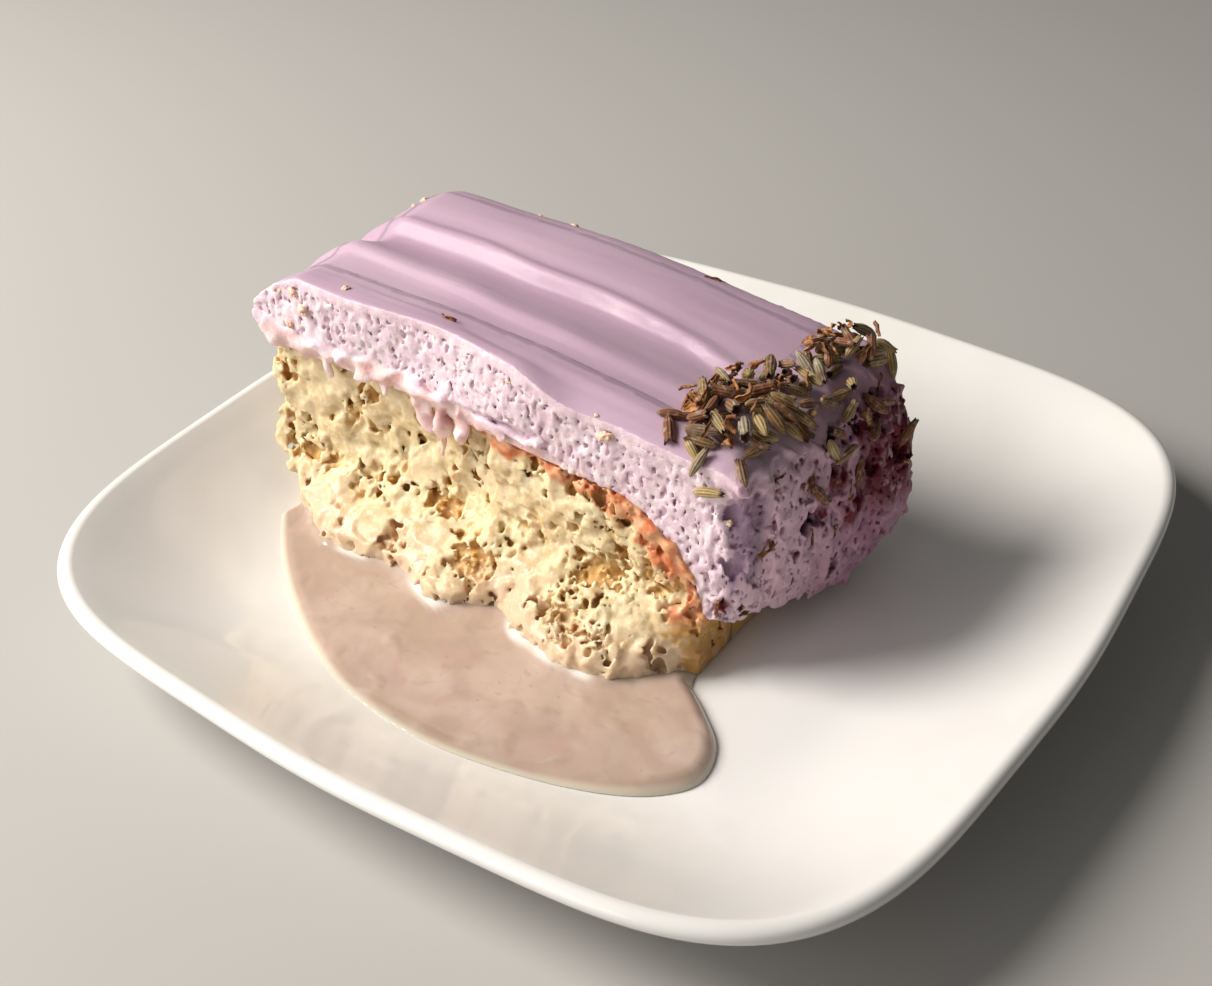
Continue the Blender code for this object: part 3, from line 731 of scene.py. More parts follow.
sponge_marks = {"depth": [], "wet": [], "crust": []}
for vert in sponge.data.vertices:
    x, y, z = vert.co
    sponge_marks["depth"].append(depth_at(sponge_tree_of, vert.co)[0])
    wet_line = 19 * MM + 5 * MM * noise_at((x, 0, 0), 14 * MM, 3)
    sponge_marks["wet"].append(smooth((wet_line - z) / (9 * MM)))
    line = crust_height(x) if x < SPONGE_RIGHT - 1 * MM else SPONGE_TOP
    steep = 1.0 + 0.9 * smooth((x - 15 * MM) / (17 * MM))
    under_crust = min((line - z) / steep, (SPONGE_RIGHT - x) * (1.0 if z > 15 * MM else 2.2))
    browned = smooth((x + 32 * MM) / (12 * MM))
    wander = 0.7 * noise_at((x, y, z), 4 * MM, 9)
    band = (3.8 + 2.6 * smooth((x - 2 * MM) / (15 * MM))) * MM
    sponge_marks["crust"].append(browned * smooth((band * (1 + wander) - under_crust) / (1.7 * MM)))
for name, values in sponge_marks.items():
    give_attribute(sponge, name, values)
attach(sponge, "root")
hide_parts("sponge")


# Whipped cream
# Lavender cream spread with a palette knife: smooth ridged strokes run along the top, the cut side
# shows foam, and the end is rough where it was pulled away. Milk has soaked it along the sponge.

CREAM_VOXEL = 0.29 * MM
CREAM_LIMIT = 192000
CREAM_TOP = 63.6 * MM
CREAM_LEFT = -72 * MM
CREAM_SLOPE_FROM = -45 * MM
CREAM_SLOPE = 1.3
CREAM_CORNER_X = 30 * MM
CREAM_CORNER_Z = 28 * MM
CREAM_TOP_STEPS = 100
CREAM_CORNER_STEPS = 44
CREAM_SIDE_STEPS = 14
CREAM_ACROSS_STEPS = 90
CREAM_THICK_STEPS = 16
CREAM_FRONT = [(-80, -25), (-55, -26), (-30, -24.5), (-5, -26.5), (15, -25), (40, -24)]
CREAM_BACK = [(-80, 30), (-40, 29), (-15, 31), (10, 29.5), (35, 31), (50, 29)]
# The knife's lines along the top: places (x, y) that each runs through, in millimetres
RIDGE_FRONT = [(-72, -7.8), (-43, -9), (-20, -11), (0, -11.2)]
VALLEY = [(-73, 3.4), (-65, 5.4), (-45, 4.6), (-28, 4.2), (-10, 4.8), (8, 4.0), (20, 1.0)]
RIDGE_BACK = [(-72, 9.6), (-50, 9.6), (-28, 7.4), (-13, 7.7), (0, 6.8), (9, 6.0), (22, 4.0)]
GROOVE = [(-60, -19), (-39, -19.3), (-10, -22.4), (18, -21.5)]
# How far milk has soaked up from the crust, from left to right
SOAK_BAND = [(-80, 4.5), (-55, 3.4), (-38, 4.4), (-28, 3.6), (-18, 2.4), (-5, 1.0), (40, -2)]
# Where soaked cream hangs over the crumb: start, end and radius at each, in millimetres
DRIPS = [((-79, -23.6, 48.3), (-64, -23.9, 48.2), 2.9, 2.3),
         ((-64, -23.9, 48.2), (-52, -24.3, 48.0), 2.3, 2.7),
         ((-52, -24.3, 48.0), (-41, -24.4, 47.8), 2.7, 1.8),
         ((-41, -24.6, 47.4), (-30, -24.5, 46.8), 1.8, 2.2),
         ((-36.5, -24.6, 45), (-35.5, -24.6, 39.5), 1.9, 1.2),
         ((-35.5, -24.6, 39.5), (-33.6, -24.4, 36.5), 1.2, 0.9),
         ((-31, -24.8, 46), (-30.8, -24.8, 38.5), 2.1, 1.5),
         ((-30.8, -24.8, 38.5), (-31.6, -24.4, 33.5), 1.3, 0.8),
         ((-27, -24.8, 46), (-25.8, -24.8, 42.0), 1.8, 1.5),
         ((-25.8, -24.8, 42.0), (-26.8, -24.4, 37.5), 1.2, 0.8),
         ((-24, -24.8, 46), (-17, -25.0, 45.6), 1.6, 1.2),
         ((-17, -25.2, 45.4), (-5, -25.6, 45.4), 1.2, 0.7),
         ((-62, -24.4, 45.5), (-61, -24.4, 42), 1.3, 0.7),
         ((-48, -24.4, 45.5), (-47.5, -24.4, 42.5), 1.5, 0.8)]
# Middle and half sizes of the deepest holes in the pulled end, in millimetres
END_HOLES = [((44.4, -0.9, 34), (3.4, 1.8, 3.0)), ((46.8, 11.6, 31.5), (3.4, 1.6, 3.2)),
             ((46.4, 20.5, 45.5), (3.4, 1.6, 3.0)), ((48.4, 25, 37), (3.4, 1.8, 3.0)),
             ((42.4, -6.8, 27), (2.6, 1.0, 1.6)), ((45, 4.8, 41.5), (2.8, 1.5, 1.8)),
             ((47.2, 16.7, 37.5), (3.8, 2.4, 3.5)), ((46, 13.5, 44), (2.6, 1.6, 2.2)),
             ((45, 4.4, 30.2), (2.6, 1.0, 2.2)), ((40.6, -16.9, 31.5), (2.0, 1.2, 1.2))]
# Where the flowers bled dark red into the cream of the end: middle and reach, in millimetres
STAINS = [((50, 22, 37), 15), ((47, 14, 47), 6), ((49, 26, 47), 7), ((45, 5, 39), 4.5), ((45, 0, 33), 3.5),
          ((46, 10, 30), 5), ((44, -4, 43), 3.5), ((36, -24, 22), 3), ((47, 19, 53), 4)]


def along_curve(points, y_mm):
    """Read a flowing line of (y, height) points, in millimetres, at y."""
    i = max(1, next((n for n, point in enumerate(points) if y_mm <= point[0]), len(points) - 1))
    (y0, h0), (y1, h1) = points[i - 1], points[i]
    before = points[max(0, i - 2)]
    after = points[min(len(points) - 1, i + 1)]
    gap = y1 - y0
    start = (h1 - before[1]) / (y1 - before[0]) * gap
    end = (after[1] - h0) / (after[0] - y0) * gap
    t = min(1.0, max(0.0, (y_mm - y0) / gap))
    return (h0 * (1 + 2 * t) * (1 - t) ** 2 + start * t * (1 - t) ** 2 + h1 * t * t * (3 - 2 * t)
            - end * t * t * (1 - t))


def cream_height(x, y):
    base = CREAM_TOP - CREAM_SLOPE * max(0.0, x - CREAM_SLOPE_FROM) ** 2
    groove = through_points(GROOVE, x) / MM
    ridge = through_points(RIDGE_FRONT, x) / MM
    valley = through_points(VALLEY, x) / MM
    crest = through_points(RIDGE_BACK, x) / MM
    strokes = [(-29, -1.6), (-25.5, 0.0), (groove - 1.6, 0.1), (groove, -0.35), (ridge - 2.6, -0.5),
               (ridge, 0.75), (ridge + 3.0, 0.35), (0.5 * ridge + 0.5 * valley, -1.3), (valley, -2.75),
               (crest - 0.6, 0.2), (crest + 2.6, -0.35), (crest + 6.0, 0.2), (19, 0.55), (26, 0.0),
               (31, -1.8)]
    fade = 1 - 0.45 * smooth((x + 15 * MM) / (35 * MM))
    front_round = 3.8 * MM * smooth((x + 12 * MM) / (16 * MM)) * smooth((-19 * MM - y) / (8 * MM))
    left_round = 2.0 * MM * smooth((CREAM_LEFT + 5 * MM - x) / (6 * MM))
    drag = 0.10 * MM * noise.noise(Vector((x / (26 * MM), y / (1.5 * MM), 3.0)))
    sway = 0.35 * MM * noise.noise(Vector((x / (18 * MM), y / (9 * MM), 8.0)))
    return base + along_curve(strokes, y / MM) * MM * fade - front_round - left_round + drag + sway


def end_face(y, z):
    across = y + 24 * MM
    upper = smooth((z - 25 * MM) / (25 * MM))
    return 38.5 * MM + 0.225 * across + (3.5 * MM - 0.13 * across) * upper


def cream_foot(y):
    near = 17.5 - 8.0 * smooth((y / MM + 24) / 34)
    return (near + 4.5 * smooth((y / MM - 16) / 14)) * MM + 2.2 * MM * noise_at((0, y, 0), 5 * MM, 6)


def cream_outer(i, y):
    if i <= CREAM_TOP_STEPS:
        x = CREAM_LEFT + (CREAM_CORNER_X - CREAM_LEFT) * i / CREAM_TOP_STEPS
        return x, cream_height(x, y)
    if i <= CREAM_TOP_STEPS + CREAM_CORNER_STEPS:
        turn = math.pi / 2 * (i - CREAM_TOP_STEPS) / CREAM_CORNER_STEPS
        fall = max(0.0, math.cos(turn)) ** 0.55
        z = CREAM_CORNER_Z + (cream_height(CREAM_CORNER_X, y) - CREAM_CORNER_Z) * fall
        return CREAM_CORNER_X + (end_face(y, z) - CREAM_CORNER_X) * math.sin(turn) ** 0.55, z
    share = (i - CREAM_TOP_STEPS - CREAM_CORNER_STEPS) / CREAM_SIDE_STEPS
    z = CREAM_CORNER_Z + (cream_foot(y) - CREAM_CORNER_Z) * share
    return end_face(y, z) - 3 * MM * share ** 2, z


def cream_inner(i, y):
    """On the sponge's crust: along its top, round its shoulder, then down its end."""
    if i <= CREAM_TOP_STEPS:
        x = -80 * MM + (SPONGE_RIGHT - TIN_RADIUS + 80 * MM) * i / CREAM_TOP_STEPS
        return x, crust_height(x)
    if i <= CREAM_TOP_STEPS + CREAM_CORNER_STEPS:
        turn = math.pi / 2 * (i - CREAM_TOP_STEPS) / CREAM_CORNER_STEPS
        x = SPONGE_RIGHT - TIN_RADIUS + TIN_RADIUS * math.sin(turn)
        return x, crust_height(x)
    share = (i - CREAM_TOP_STEPS - CREAM_CORNER_STEPS) / CREAM_SIDE_STEPS
    start = crust_height(SPONGE_RIGHT)
    return SPONGE_RIGHT, start + (cream_foot(y) - start) * share


def cream_corner(i, j, k):
    middle_x = cream_outer(i, 0)[0]
    front_y = through_points(CREAM_FRONT, middle_x)
    back_y = through_points(CREAM_BACK, middle_x)
    y = front_y + (back_y - front_y) * (j / CREAM_ACROSS_STEPS)
    share = k / CREAM_THICK_STEPS
    place = Vector(cream_inner(i, y)).lerp(Vector(cream_outer(i, y)), share)
    end_bulge = -6 * MM * math.sin(math.pi * share) if i == 0 else 0.0
    return Vector((place.x + end_bulge, y, place.y))


def object_of(mesh, name):
    data = bpy.data.meshes.new(name)
    mesh.to_mesh(data)
    mesh.free()
    made = bpy.data.objects.new(name, data)
    bpy.context.scene.collection.objects.link(made)
    return made


def block_form(name, steps, place):
    """The closed skin of a block of steps (along, across, up), with each corner's key."""
    mesh = bmesh.new()
    corners = {}
    quads = []
    for first, second, across in ((0, 1, 2), (0, 2, 1), (1, 2, 0)):
        for i in range(steps[first]):
            for j in range(steps[second]):
                quads += [(first, second, across, i, j, end) for end in (0, steps[across])]
    for first, second, across, i, j, end in quads:
        quad = []
        for step_i, step_j in ((0, 0), (1, 0), (1, 1), (0, 1)):
            key = [end, end, end]
            key[first] = i + step_i
            key[second] = j + step_j
            key = tuple(key)
            if key not in corners:
                corners[key] = mesh.verts.new(place(*key))
            quad.append(corners[key])
        mesh.faces.new(quad)
    mesh.verts.index_update()
    keys = [None] * len(corners)
    for key, vert in corners.items():
        keys[vert.index] = key
    bmesh.ops.recalc_face_normals(mesh, faces=mesh.faces)
    return object_of(mesh, name), keys


def cream_finish():
    finish, tree, shader = new_finish("lavender_cream", 0.42, IOR=1.4, Subsurface_Weight=0.3,
                                      Subsurface_Scale=0.003)
    shader.inputs["Subsurface Radius"].default_value = (1.0, 0.7, 0.7)
    deep = attribute(tree, "depth")
    foam = attribute(tree, "foam")
    end = attribute(tree, "end")
    soak = attribute(tree, "soak")
    top = blend_colours(tree, remap(tree, grain(tree, 22 * MM, 2.0, stretch=(0.4, 1, 1)), 0.35, 0.65),
                        (0.50, 0.345, 0.455), (0.565, 0.405, 0.51))
    cut = blend_colours(tree, remap(tree, grain(tree, 2.2 * MM, 3.0), 0.35, 0.7), (0.74, 0.56, 0.65),
                        (0.85, 0.71, 0.755))
    colour = blend_colours(tree, foam, top, cut)
    along = object_axes(tree)[0]
    pulled = times(tree, remap(tree, along, 33 * MM, 41 * MM, 0.0, 0.7), foam)
    colour = blend_colours(tree, pulled, colour, (0.62, 0.37, 0.48))
    # Painted shadow: the deepest pits of the pulled end are painted near black
    pit_shade_there = times(tree, remap(tree, deep, 1.3, 2.8), remap(tree, along, 37 * MM, 42 * MM))
    # Painted shade: the far part of the pulled end, marked by end, is painted darker mauve, and its hollows,
    # by depth, darker still
    end_shade = blend_colours(tree, remap(tree, grain(tree, 7 * MM, 3.0), 0.3, 0.7), (0.42, 0.19, 0.29),
                         (0.60, 0.36, 0.47))
    colour = blend_colours(tree, end, colour, end_shade)
    shade = blend_colours(tree, end, (0.43, 0.28, 0.41), (0.19, 0.07, 0.15))
    colour = blend_colours(tree, remap(tree, deep, 0.4, 1.9, 0.0, 0.9), colour, shade)
    colour = blend_colours(tree, pit_shade_there, colour, (0.10, 0.015, 0.035))
    spread = remap(tree, grain(tree, 3.5 * MM, 3.0, warp=0.8), 0.28, 0.48)
    stained = times(tree, attribute(tree, "stain"), spread)
    colour = blend_colours(tree, stained, colour, (0.15, 0.010, 0.022))
    milky = blend_colours(tree, remap(tree, grain(tree, 5 * MM, 2.0), 0.35, 0.65), (0.74, 0.47, 0.46),
                          (0.86, 0.70, 0.69))
    colour = blend_colours(tree, soak, colour, milky)
    tree.links.new(colour, shader.inputs["Base Color"])
    sheen = remap(tree, soak, 0.0, 1.0, 0.42, 0.2)
    tree.links.new(sheen, shader.inputs["Roughness"])
    fine = times(tree, grain(tree, 0.5 * MM, 2.0), reckon(tree, "MULTIPLY_ADD", foam, 0.9, 0.1))
    add_bump(tree, shader, fine, 0.22 * MM, 0.7)
    return finish


def drip(tree, spot, start, end, start_radius, end_radius):
    """Depth in millimetres inside a round-ended cone between two places."""
    run = Vector(end) - Vector(start)
    away = reckon_vector(tree, "MULTIPLY_ADD", spot, (1000, 1000, 1000), -Vector(start))
    along = reckon_vector(tree, "DOT_PRODUCT", away, run / run.length_squared, output=1)
    share = join_node(tree, "ShaderNodeClamp", {0: along}).outputs[0]
    off = join_node(tree, "ShaderNodeVectorMath", {0: run, "Scale": share}, operation="SCALE").outputs[0]
    gap = reckon_vector(tree, "DISTANCE", away, off, output=1)
    radius = reckon(tree, "MULTIPLY_ADD", share, end_radius - start_radius, start_radius)
    return minus(tree, radius, gap)


def named_value(tree, name, kind):
    return join_node(tree, "GeometryNodeInputNamedAttribute", {"Name": name}, data_type=kind).outputs[0]


cream_steps = CREAM_TOP_STEPS + CREAM_CORNER_STEPS + CREAM_SIDE_STEPS
cream_blocks = (cream_steps, CREAM_ACROSS_STEPS, CREAM_THICK_STEPS)
cream_form, cream_keys = block_form("cream_form", cream_blocks, cream_corner)
form_rough = []
for i, j, k in cream_keys:
    share = k / CREAM_THICK_STEPS
    on_cut = 1.0 if j in (0, CREAM_ACROSS_STEPS) else 0.0
    on_cut *= smooth((0.97 - share) / 0.07)
    on_end = smooth((i - CREAM_TOP_STEPS - 10) / 14) if k > 0 else 0.0
    form_rough.append(max(on_cut, on_end))
give_attribute(cream_form, "rough", form_rough)
cream_tree_of = BVHTree.FromObject(cream_form, bpy.context.evaluated_depsgraph_get())
cream_low, cream_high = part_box("frosting")
cream_sizes = {"Voxel": CREAM_VOXEL, "Foam Height": 0.8, "Torn Height": 4.4}
foamy, foamy_in, foamy_out = new_tree("torn_cream", cream_sizes)
spot = join_node(foamy, "GeometryNodeInputPosition").outputs[0]
depth = depth_in(foamy, foamy_in.outputs[0], spot)
axes = join_node(foamy, "ShaderNodeSeparateXYZ", {0: spot}).outputs
rough_there = named_value(foamy, "rough", "FLOAT")
sample = {"Mesh": foamy_in.outputs[0], "Value": rough_there, "Sample Position": spot}
sampled = join_node(foamy, "GeometryNodeSampleNearestSurface", sample).outputs[0]
at_end = remap(foamy, axes[0], 28 * MM, 38 * MM)
streaks = (1.0, 1.0, 0.6)
foam_bumps = field_noise(foamy, spot, 1.6 * MM, 1.0, streaks, 0.4)
foam_bumps = times(foamy, foam_bumps, foamy_in.outputs["Foam Height"])
folds = field_noise(foamy, spot, 5.0 * MM, 1.0, (1.0, 0.8, 0.7), 1.4, 5.0)
folds = times(foamy, folds, foamy_in.outputs["Torn Height"])
folds = times(foamy, folds, reckon(foamy, "MULTIPLY_ADD", at_end, 0.75, 0.25))
relief = times(foamy, plus(foamy, foam_bumps, folds), sampled)
body = plus(foamy, depth, relief)
uneven = warp(foamy, spot, 1.3 * MM, 1.4 * MM)
pits = [gaps(foamy, spot, 1.0 * MM, 0.115, streaks, 2.0),
        bubbles(foamy, uneven, 2.3 * MM, 0.38, 0.12, 0.35, (1.1, 1, 0.8), 9.0)]
away_from_end = times(foamy, minus(foamy, 1.0, at_end), 3.0)
bent = warp(foamy, spot, 3.0 * MM, 3.0 * MM)
craters = bubbles(foamy, bent, 6.2 * MM, 0.75, 0.15, 0.47, (1, 1.2, 0.7), 6.0)
craters = plus(foamy, craters, away_from_end)
pit = reckon(foamy, "MINIMUM", reckon(foamy, "MINIMUM", pits[0], pits[1]), craters)
allowed = reckon(foamy, "MULTIPLY_ADD", at_end, -2.6, -1.5)
too_deep = reckon(foamy, "MAXIMUM", reckon(foamy, "MULTIPLY_ADD", depth, 1.5, allowed), 0.0)
covered = times(foamy, minus(foamy, 1.0, sampled), 4.0)
pit = plus(foamy, pit, plus(foamy, too_deep, covered))
for middle, half in END_HOLES:
    pit = reckon(foamy, "MINIMUM", pit, deep_hole(foamy, uneven, middle, half))
body = reckon(foamy, "SMOOTH_MIN", body, pit, 0.25)
# The near corner of the end is pulled round, not square
past_x = reckon(foamy, "MAXIMUM", minus(foamy, axes[0], 32.5 * MM), 0.0)
past_y = reckon(foamy, "MAXIMUM", minus(foamy, -18.5 * MM, axes[1]), 0.0)
past_squares = [times(foamy, past, past) for past in (past_x, past_y)]
corner_reach = reckon(foamy, "SQRT", plus(foamy, past_squares[0], past_squares[1]))
round_corner = reckon(foamy, "MULTIPLY_ADD", corner_reach, -1000.0, 6.4)
round_corner = plus(foamy, round_corner, relief)
elsewhere = reckon(foamy, "MAXIMUM", remap(foamy, axes[2], 46 * MM, 54 * MM, 0.0, 6.0),
                   remap(foamy, axes[1], -18 * MM, -11 * MM, 0.0, 14.0))
body = reckon(foamy, "SMOOTH_MIN", body, plus(foamy, round_corner, elsewhere), 0.6)
runny = warp(foamy, spot, 4.0 * MM, 4.5 * MM)
for start, end, start_radius, end_radius in DRIPS:
    body = reckon(foamy, "SMOOTH_MAX", body, drip(foamy, runny, start, end, start_radius, end_radius), 0.6)
low = Vector(cream_low) - margin
high = Vector(cream_high) + margin
front = -17 * MM
back = 24 * MM
end = 27 * MM
left = -71 * MM
foam_slabs = [(low, (high.x, front + 1 * MM, high.z), 1.0), ((end, front, low.z), high, 1.05),
              ((low.x, back, low.z), (end + 1 * MM, high.y, high.z), 1.8),
              ((low.x, front, low.z + 20 * MM), (left, back + 1 * MM, high.z), 1.8)]
skins = carve(foamy, foamy_in, foam_slabs, body)
kept = reckon(foamy, "GREATER_THAN", axes[0], left - 1.5 * MM)
for axis, compare, limit in ((0, "LESS_THAN", end + 1.5 * MM), (1, "GREATER_THAN", front - 0.5 * MM),
                             (1, "LESS_THAN", back + 1.5 * MM)):
    kept = times(foamy, kept, reckon(foamy, compare, axes[axis], limit))
outside = {"Geometry": foamy_in.outputs[0], "Selection": reckon(foamy, "LESS_THAN", kept, 0.5)}
cut_away = join_node(foamy, "GeometryNodeDeleteGeometry", outside, domain="FACE")
foamy.links.new(cut_away.outputs[0], skins.inputs[0])
end_tree(foamy, skins.outputs[0], cream_finish(), foamy_out)
cream = grow(cream_form, "cream_spread", foamy, cream_sizes)
cream = thin_out(cream, CREAM_LIMIT)

cream_marks = {"depth": [], "stain": [], "foam": [], "end": [], "soak": []}
for vert in cream.data.vertices:
    x, y, z = vert.co
    under, normal = depth_at(cream_tree_of, vert.co)
    cream_marks["depth"].append(under)
    facing_side = 1 - smooth((abs(normal.z) - 0.25) / 0.4)
    cut_side = 1 - smooth((y - through_points(CREAM_FRONT, x) - 1.2 * MM) / (1.0 * MM))
    below_top = smooth((cream_height(min(x, CREAM_CORNER_X), y) - z - 0.5 * MM) / (0.8 * MM))
    cream_marks["foam"].append(max(facing_side, cut_side * below_top))
    # How far into the far part of the pulled end a place lies, where the cream is painted in shade
    cream_marks["end"].append(smooth((x - 36 * MM) / (8 * MM)) * smooth((y + 12 * MM) / (26 * MM)))
    over_crust = z - crust_height(min(x, SPONGE_RIGHT)) + 1.2 * MM * noise_at((x, y, z), 5 * MM, 4)
    band = through_points(SOAK_BAND, x)
    soaked = (1 - smooth((over_crust - band) / (1.0 * MM))) * smooth((-20 * MM - y) / (2 * MM))
    cream_marks["soak"].append(soaked if x < 5 * MM else 0.0)
    stain = max(1 - (Vector((x, y, z)) / MM - Vector(middle)).length / reach for middle, reach in STAINS)
    cream_marks["stain"].append(smooth(stain * 2))
for name, values in cream_marks.items():
    give_attribute(cream, name, values)
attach(cream, "root")
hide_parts("frosting")


# Lavender
# Dried lavender shaken over the cream's covered end: ribbed papery buds of olive, grey-blue and
# brown, with shrivelled florets among them. They lie as they fell, on the cream and on each other.

BUD_LENGTH = 6.6 * MM
BUD_WIDTH = 2.6 * MM
BUD_RIBS = 9
HEAP_CELL = 0.35 * MM
HEAP_LOW = (12 * MM, -31 * MM)
HEAP_COLUMNS = (112, 186)
LAVENDER_SEED = 31
# How far over the bare cream a piece may come to rest, and the height over the table it may reach
HIGHEST_BUD = 5.6 * MM
HEAP_TOP = 63.6 * MM
# Each group of fallen buds: how many, the middle, the half length and half width, and its turn
BUD_GROUPS = [(104, (32.5, -8.0), 14.0, 9.0, 80), (16, (36.5, 20.5), 9.0, 4.2, 60),
              (8, (36.0, 6.0), 21.0, 8.0, 72)]
# Buds stuck to the cream's edge and end: nearest place, heading and tint
STUCK_BUDS = [((30.2, -24.6, 54.6), (0.15, 0.1, 1), 0.55), ((32.6, -25.0, 48.6), (1, 0, 0.35), 0.35),
              ((28.0, -23.6, 56.6), (0.8, -0.5, -0.3), 0.45), ((38.4, -22.2, 54.0), (0.1, 0, 1), 0.7),
              ((44.6, 7.0, 44.0), (0.1, 1, 0.12), 0.3), ((44.8, 3.0, 49.0), (0.3, 0.6, -0.7), 0.4),
              ((47.0, 15.5, 46.0), (0.1, 1, 0.3), 0.8), ((48.5, 27.0, 40.0), (0.3, 0.5, 0.9), 0.75),
              ((44.0, 28.5, 55.0), (0.1, 0.25, 1), 0.35), ((22.0, -21.8, 57.5), (0.4, -0.5, -0.5), 0.98),
              ((21.0, -18.5, 59.0), (0.8, 0.45, 0), 0.97), ((45.0, -2.0, 40.0), (0.2, 0.5, -0.8), 0.95),
              ((46.5, 12.0, 38.0), (0.2, -0.3, -0.9), 0.98), ((46.0, 20.0, 48.0), (0.2, 0.8, -0.4), 0.96)]


def bud_kind(name, length, width, bend, mouth, plump):
    """A ribbed calyx along X with an open toothed mouth."""
    around = BUD_RIBS * 4
    outer = [(0.0, 0.16), (0.03, 0.3), (0.1, 0.52), (0.2, 0.75 * plump), (0.32, 0.93 * plump),
             (0.45, 1.0 * plump), (0.58, 0.97 * plump), (0.7, 0.86), (0.8, 0.72),
             (0.88, 0.6 + 0.3 * mouth), (0.95, 0.5 + 0.5 * mouth), (1.0, 0.46 + 0.6 * mouth)]
    inner = [(0.985, 0.36 + 0.5 * mouth), (0.92, 0.3 + 0.35 * mouth), (0.82, 0.2 + 0.2 * mouth),
             (0.74, 0.02)]
    places = []
    ribs = []
    inside = []
    for ring, (along, thick) in enumerate(outer + inner):
        within = ring >= len(outer)
        for step in range(around):
            turn = math.tau * step / around
            wave = 0.5 + 0.5 * math.cos(BUD_RIBS * turn)
            fade = min(1.0, thick * 1.4) * (0.3 if within else 1.0)
            reach = width / 2 * thick * (1 - 0.17 * fade * (1 - wave))
            teeth = 0.055 * length * smooth((along - 0.8) / 0.2) * math.cos(5 * turn + 1)
            x = (along - 0.5) * length + teeth
            lift = bend * width * (1 - (2 * along - 1) ** 2)
            places.append((x, reach * math.cos(turn), reach * math.sin(turn) + lift))
            ribs.append(wave)
            # inside marks the mouth and its rim, which the bud's finish paints in shade
            inside.append(1.0 if within else 0.75 * smooth((along - 0.88) / 0.12))
    rings = len(outer) + len(inner)
    faces = []
    for ring in range(rings - 1):
        for step in range(around):
            after = (step + 1) % around
            faces.append((ring * around + step, ring * around + after, (ring + 1) * around + after,
                          (ring + 1) * around + step))
    faces.append(tuple(reversed(range(around))))
    faces.append(tuple(range((rings - 1) * around, rings * around)))
    made = shape_object(name, places, faces)
    give_attribute(made, "rib", ribs)
    give_attribute(made, "inside", inside)
    made.data.shade_smooth()
    return made


def floret_kind(name, length, width, seed):
    """A shrivelled petal tube: a crumpled strip rolled part way round, with a ragged end."""
    rows = 9
    columns = 8
    thick = 0.14 * MM
    places = []
    for side in (1, -1):
        for row in range(rows):
            along = row / (rows - 1)
            for column in range(columns):
                turn = (column / (columns - 1) - 0.5) * (4.2 - 1.6 * along)
                crumple = 1 + 0.9 * noise.noise(Vector((along * 3.1 + seed, turn * 1.3, seed * 0.3)))
                reach = width / 2 * (0.45 + 0.75 * along) * crumple + side * thick / 2
                ragged = 0.16 * length * along * noise.noise(Vector((turn * 2.3, seed * 1.7, 5.0)))
                x = (along - 0.5) * length + ragged
                places.append((x, reach * math.cos(turn), reach * math.sin(turn)))
    faces = []
    layer = rows * columns
    for row in range(rows - 1):
        for column in range(columns - 1):
            a = row * columns + column
            faces.append((a, a + columns, a + columns + 1, a + 1))
            faces.append((layer + a + 1, layer + a + columns + 1, layer + a + columns, layer + a))
    loop = list(range(columns))
    loop += [row * columns + columns - 1 for row in range(1, rows)]
    loop += [(rows - 1) * columns + column for column in reversed(range(columns - 1))]
    loop += [row * columns for row in reversed(range(1, rows - 1))]
    for a, b in zip(loop, loop[1:] + loop[:1]):
        faces.append((a, b, layer + b, layer + a))
    made = shape_object(name, places, faces)
    mesh = bmesh.new()
    mesh.from_mesh(made.data)
    bmesh.ops.recalc_face_normals(mesh, faces=mesh.faces)
    mesh.to_mesh(made.data)
    mesh.free()
    made.data.shade_smooth()
    return made


def scan_heights(piece, low, columns, cell):
    """Heights of a piece seen from above, on a grid."""
    tree = BVHTree.FromObject(piece, bpy.context.evaluated_depsgraph_get())
    heights = np.full(columns, -1.0)
    for i in range(columns[0]):
        for j in range(columns[1]):
            start = Vector((low[0] + i * cell, low[1] + j * cell, 0.1))
            hit = tree.ray_cast(start, Vector((0, 0, -1)))[0]
            if hit is not None:
                heights[i, j] = hit.z
    return heights


def rest_on(heights, middle, heading, length, width):
    """Height and slope at which a bud of this size comes to rest, and the cells it covers."""
    half = length / 2
    first = [int((middle[a] - half - HEAP_LOW[a]) / HEAP_CELL) for a in (0, 1)]
    last = [int((middle[a] + half - HEAP_LOW[a]) / HEAP_CELL) + 1 for a in (0, 1)]
    if min(first) < 0 or last[0] >= HEAP_COLUMNS[0] or last[1] >= HEAP_COLUMNS[1]:
        return None
    grid = np.mgrid[first[0]:last[0] + 1, first[1]:last[1] + 1]
    dx = grid[0] * HEAP_CELL + HEAP_LOW[0] - middle[0]
    dy = grid[1] * HEAP_CELL + HEAP_LOW[1] - middle[1]
    along = dx * math.cos(heading) + dy * math.sin(heading)
    across = dy * math.cos(heading) - dx * math.sin(heading)
    taper = np.clip(1.25 - 1.6 * (along / length) ** 2 * 2, 0.3, 1.0)
    reach = width / 2 * taper
    covered = (np.abs(along) < half) & (np.abs(across) < reach)
    thick = np.sqrt(np.clip(reach ** 2 - across ** 2, 0, None))
    under = heights[first[0]:last[0] + 1, first[1]:last[1] + 1]
    if (under[covered] < 0).any():
        return None
    need = (under + thick * 0.85)[covered]
    best = None
    for slope in np.linspace(-0.7, 0.7, 29):
        rise = float((need - slope * along[covered]).max())
        if best is None or rise < best[0]:
            best = (rise, float(slope))
    top = best[0] + best[1] * along + thick
    return best, (first, last, covered, top)


def cover_cells(heights, cells):
    first, last, covered, top = cells
    window = heights[first[0]:last[0] + 1, first[1]:last[1] + 1]
    window[covered] = np.maximum(window[covered], top[covered])


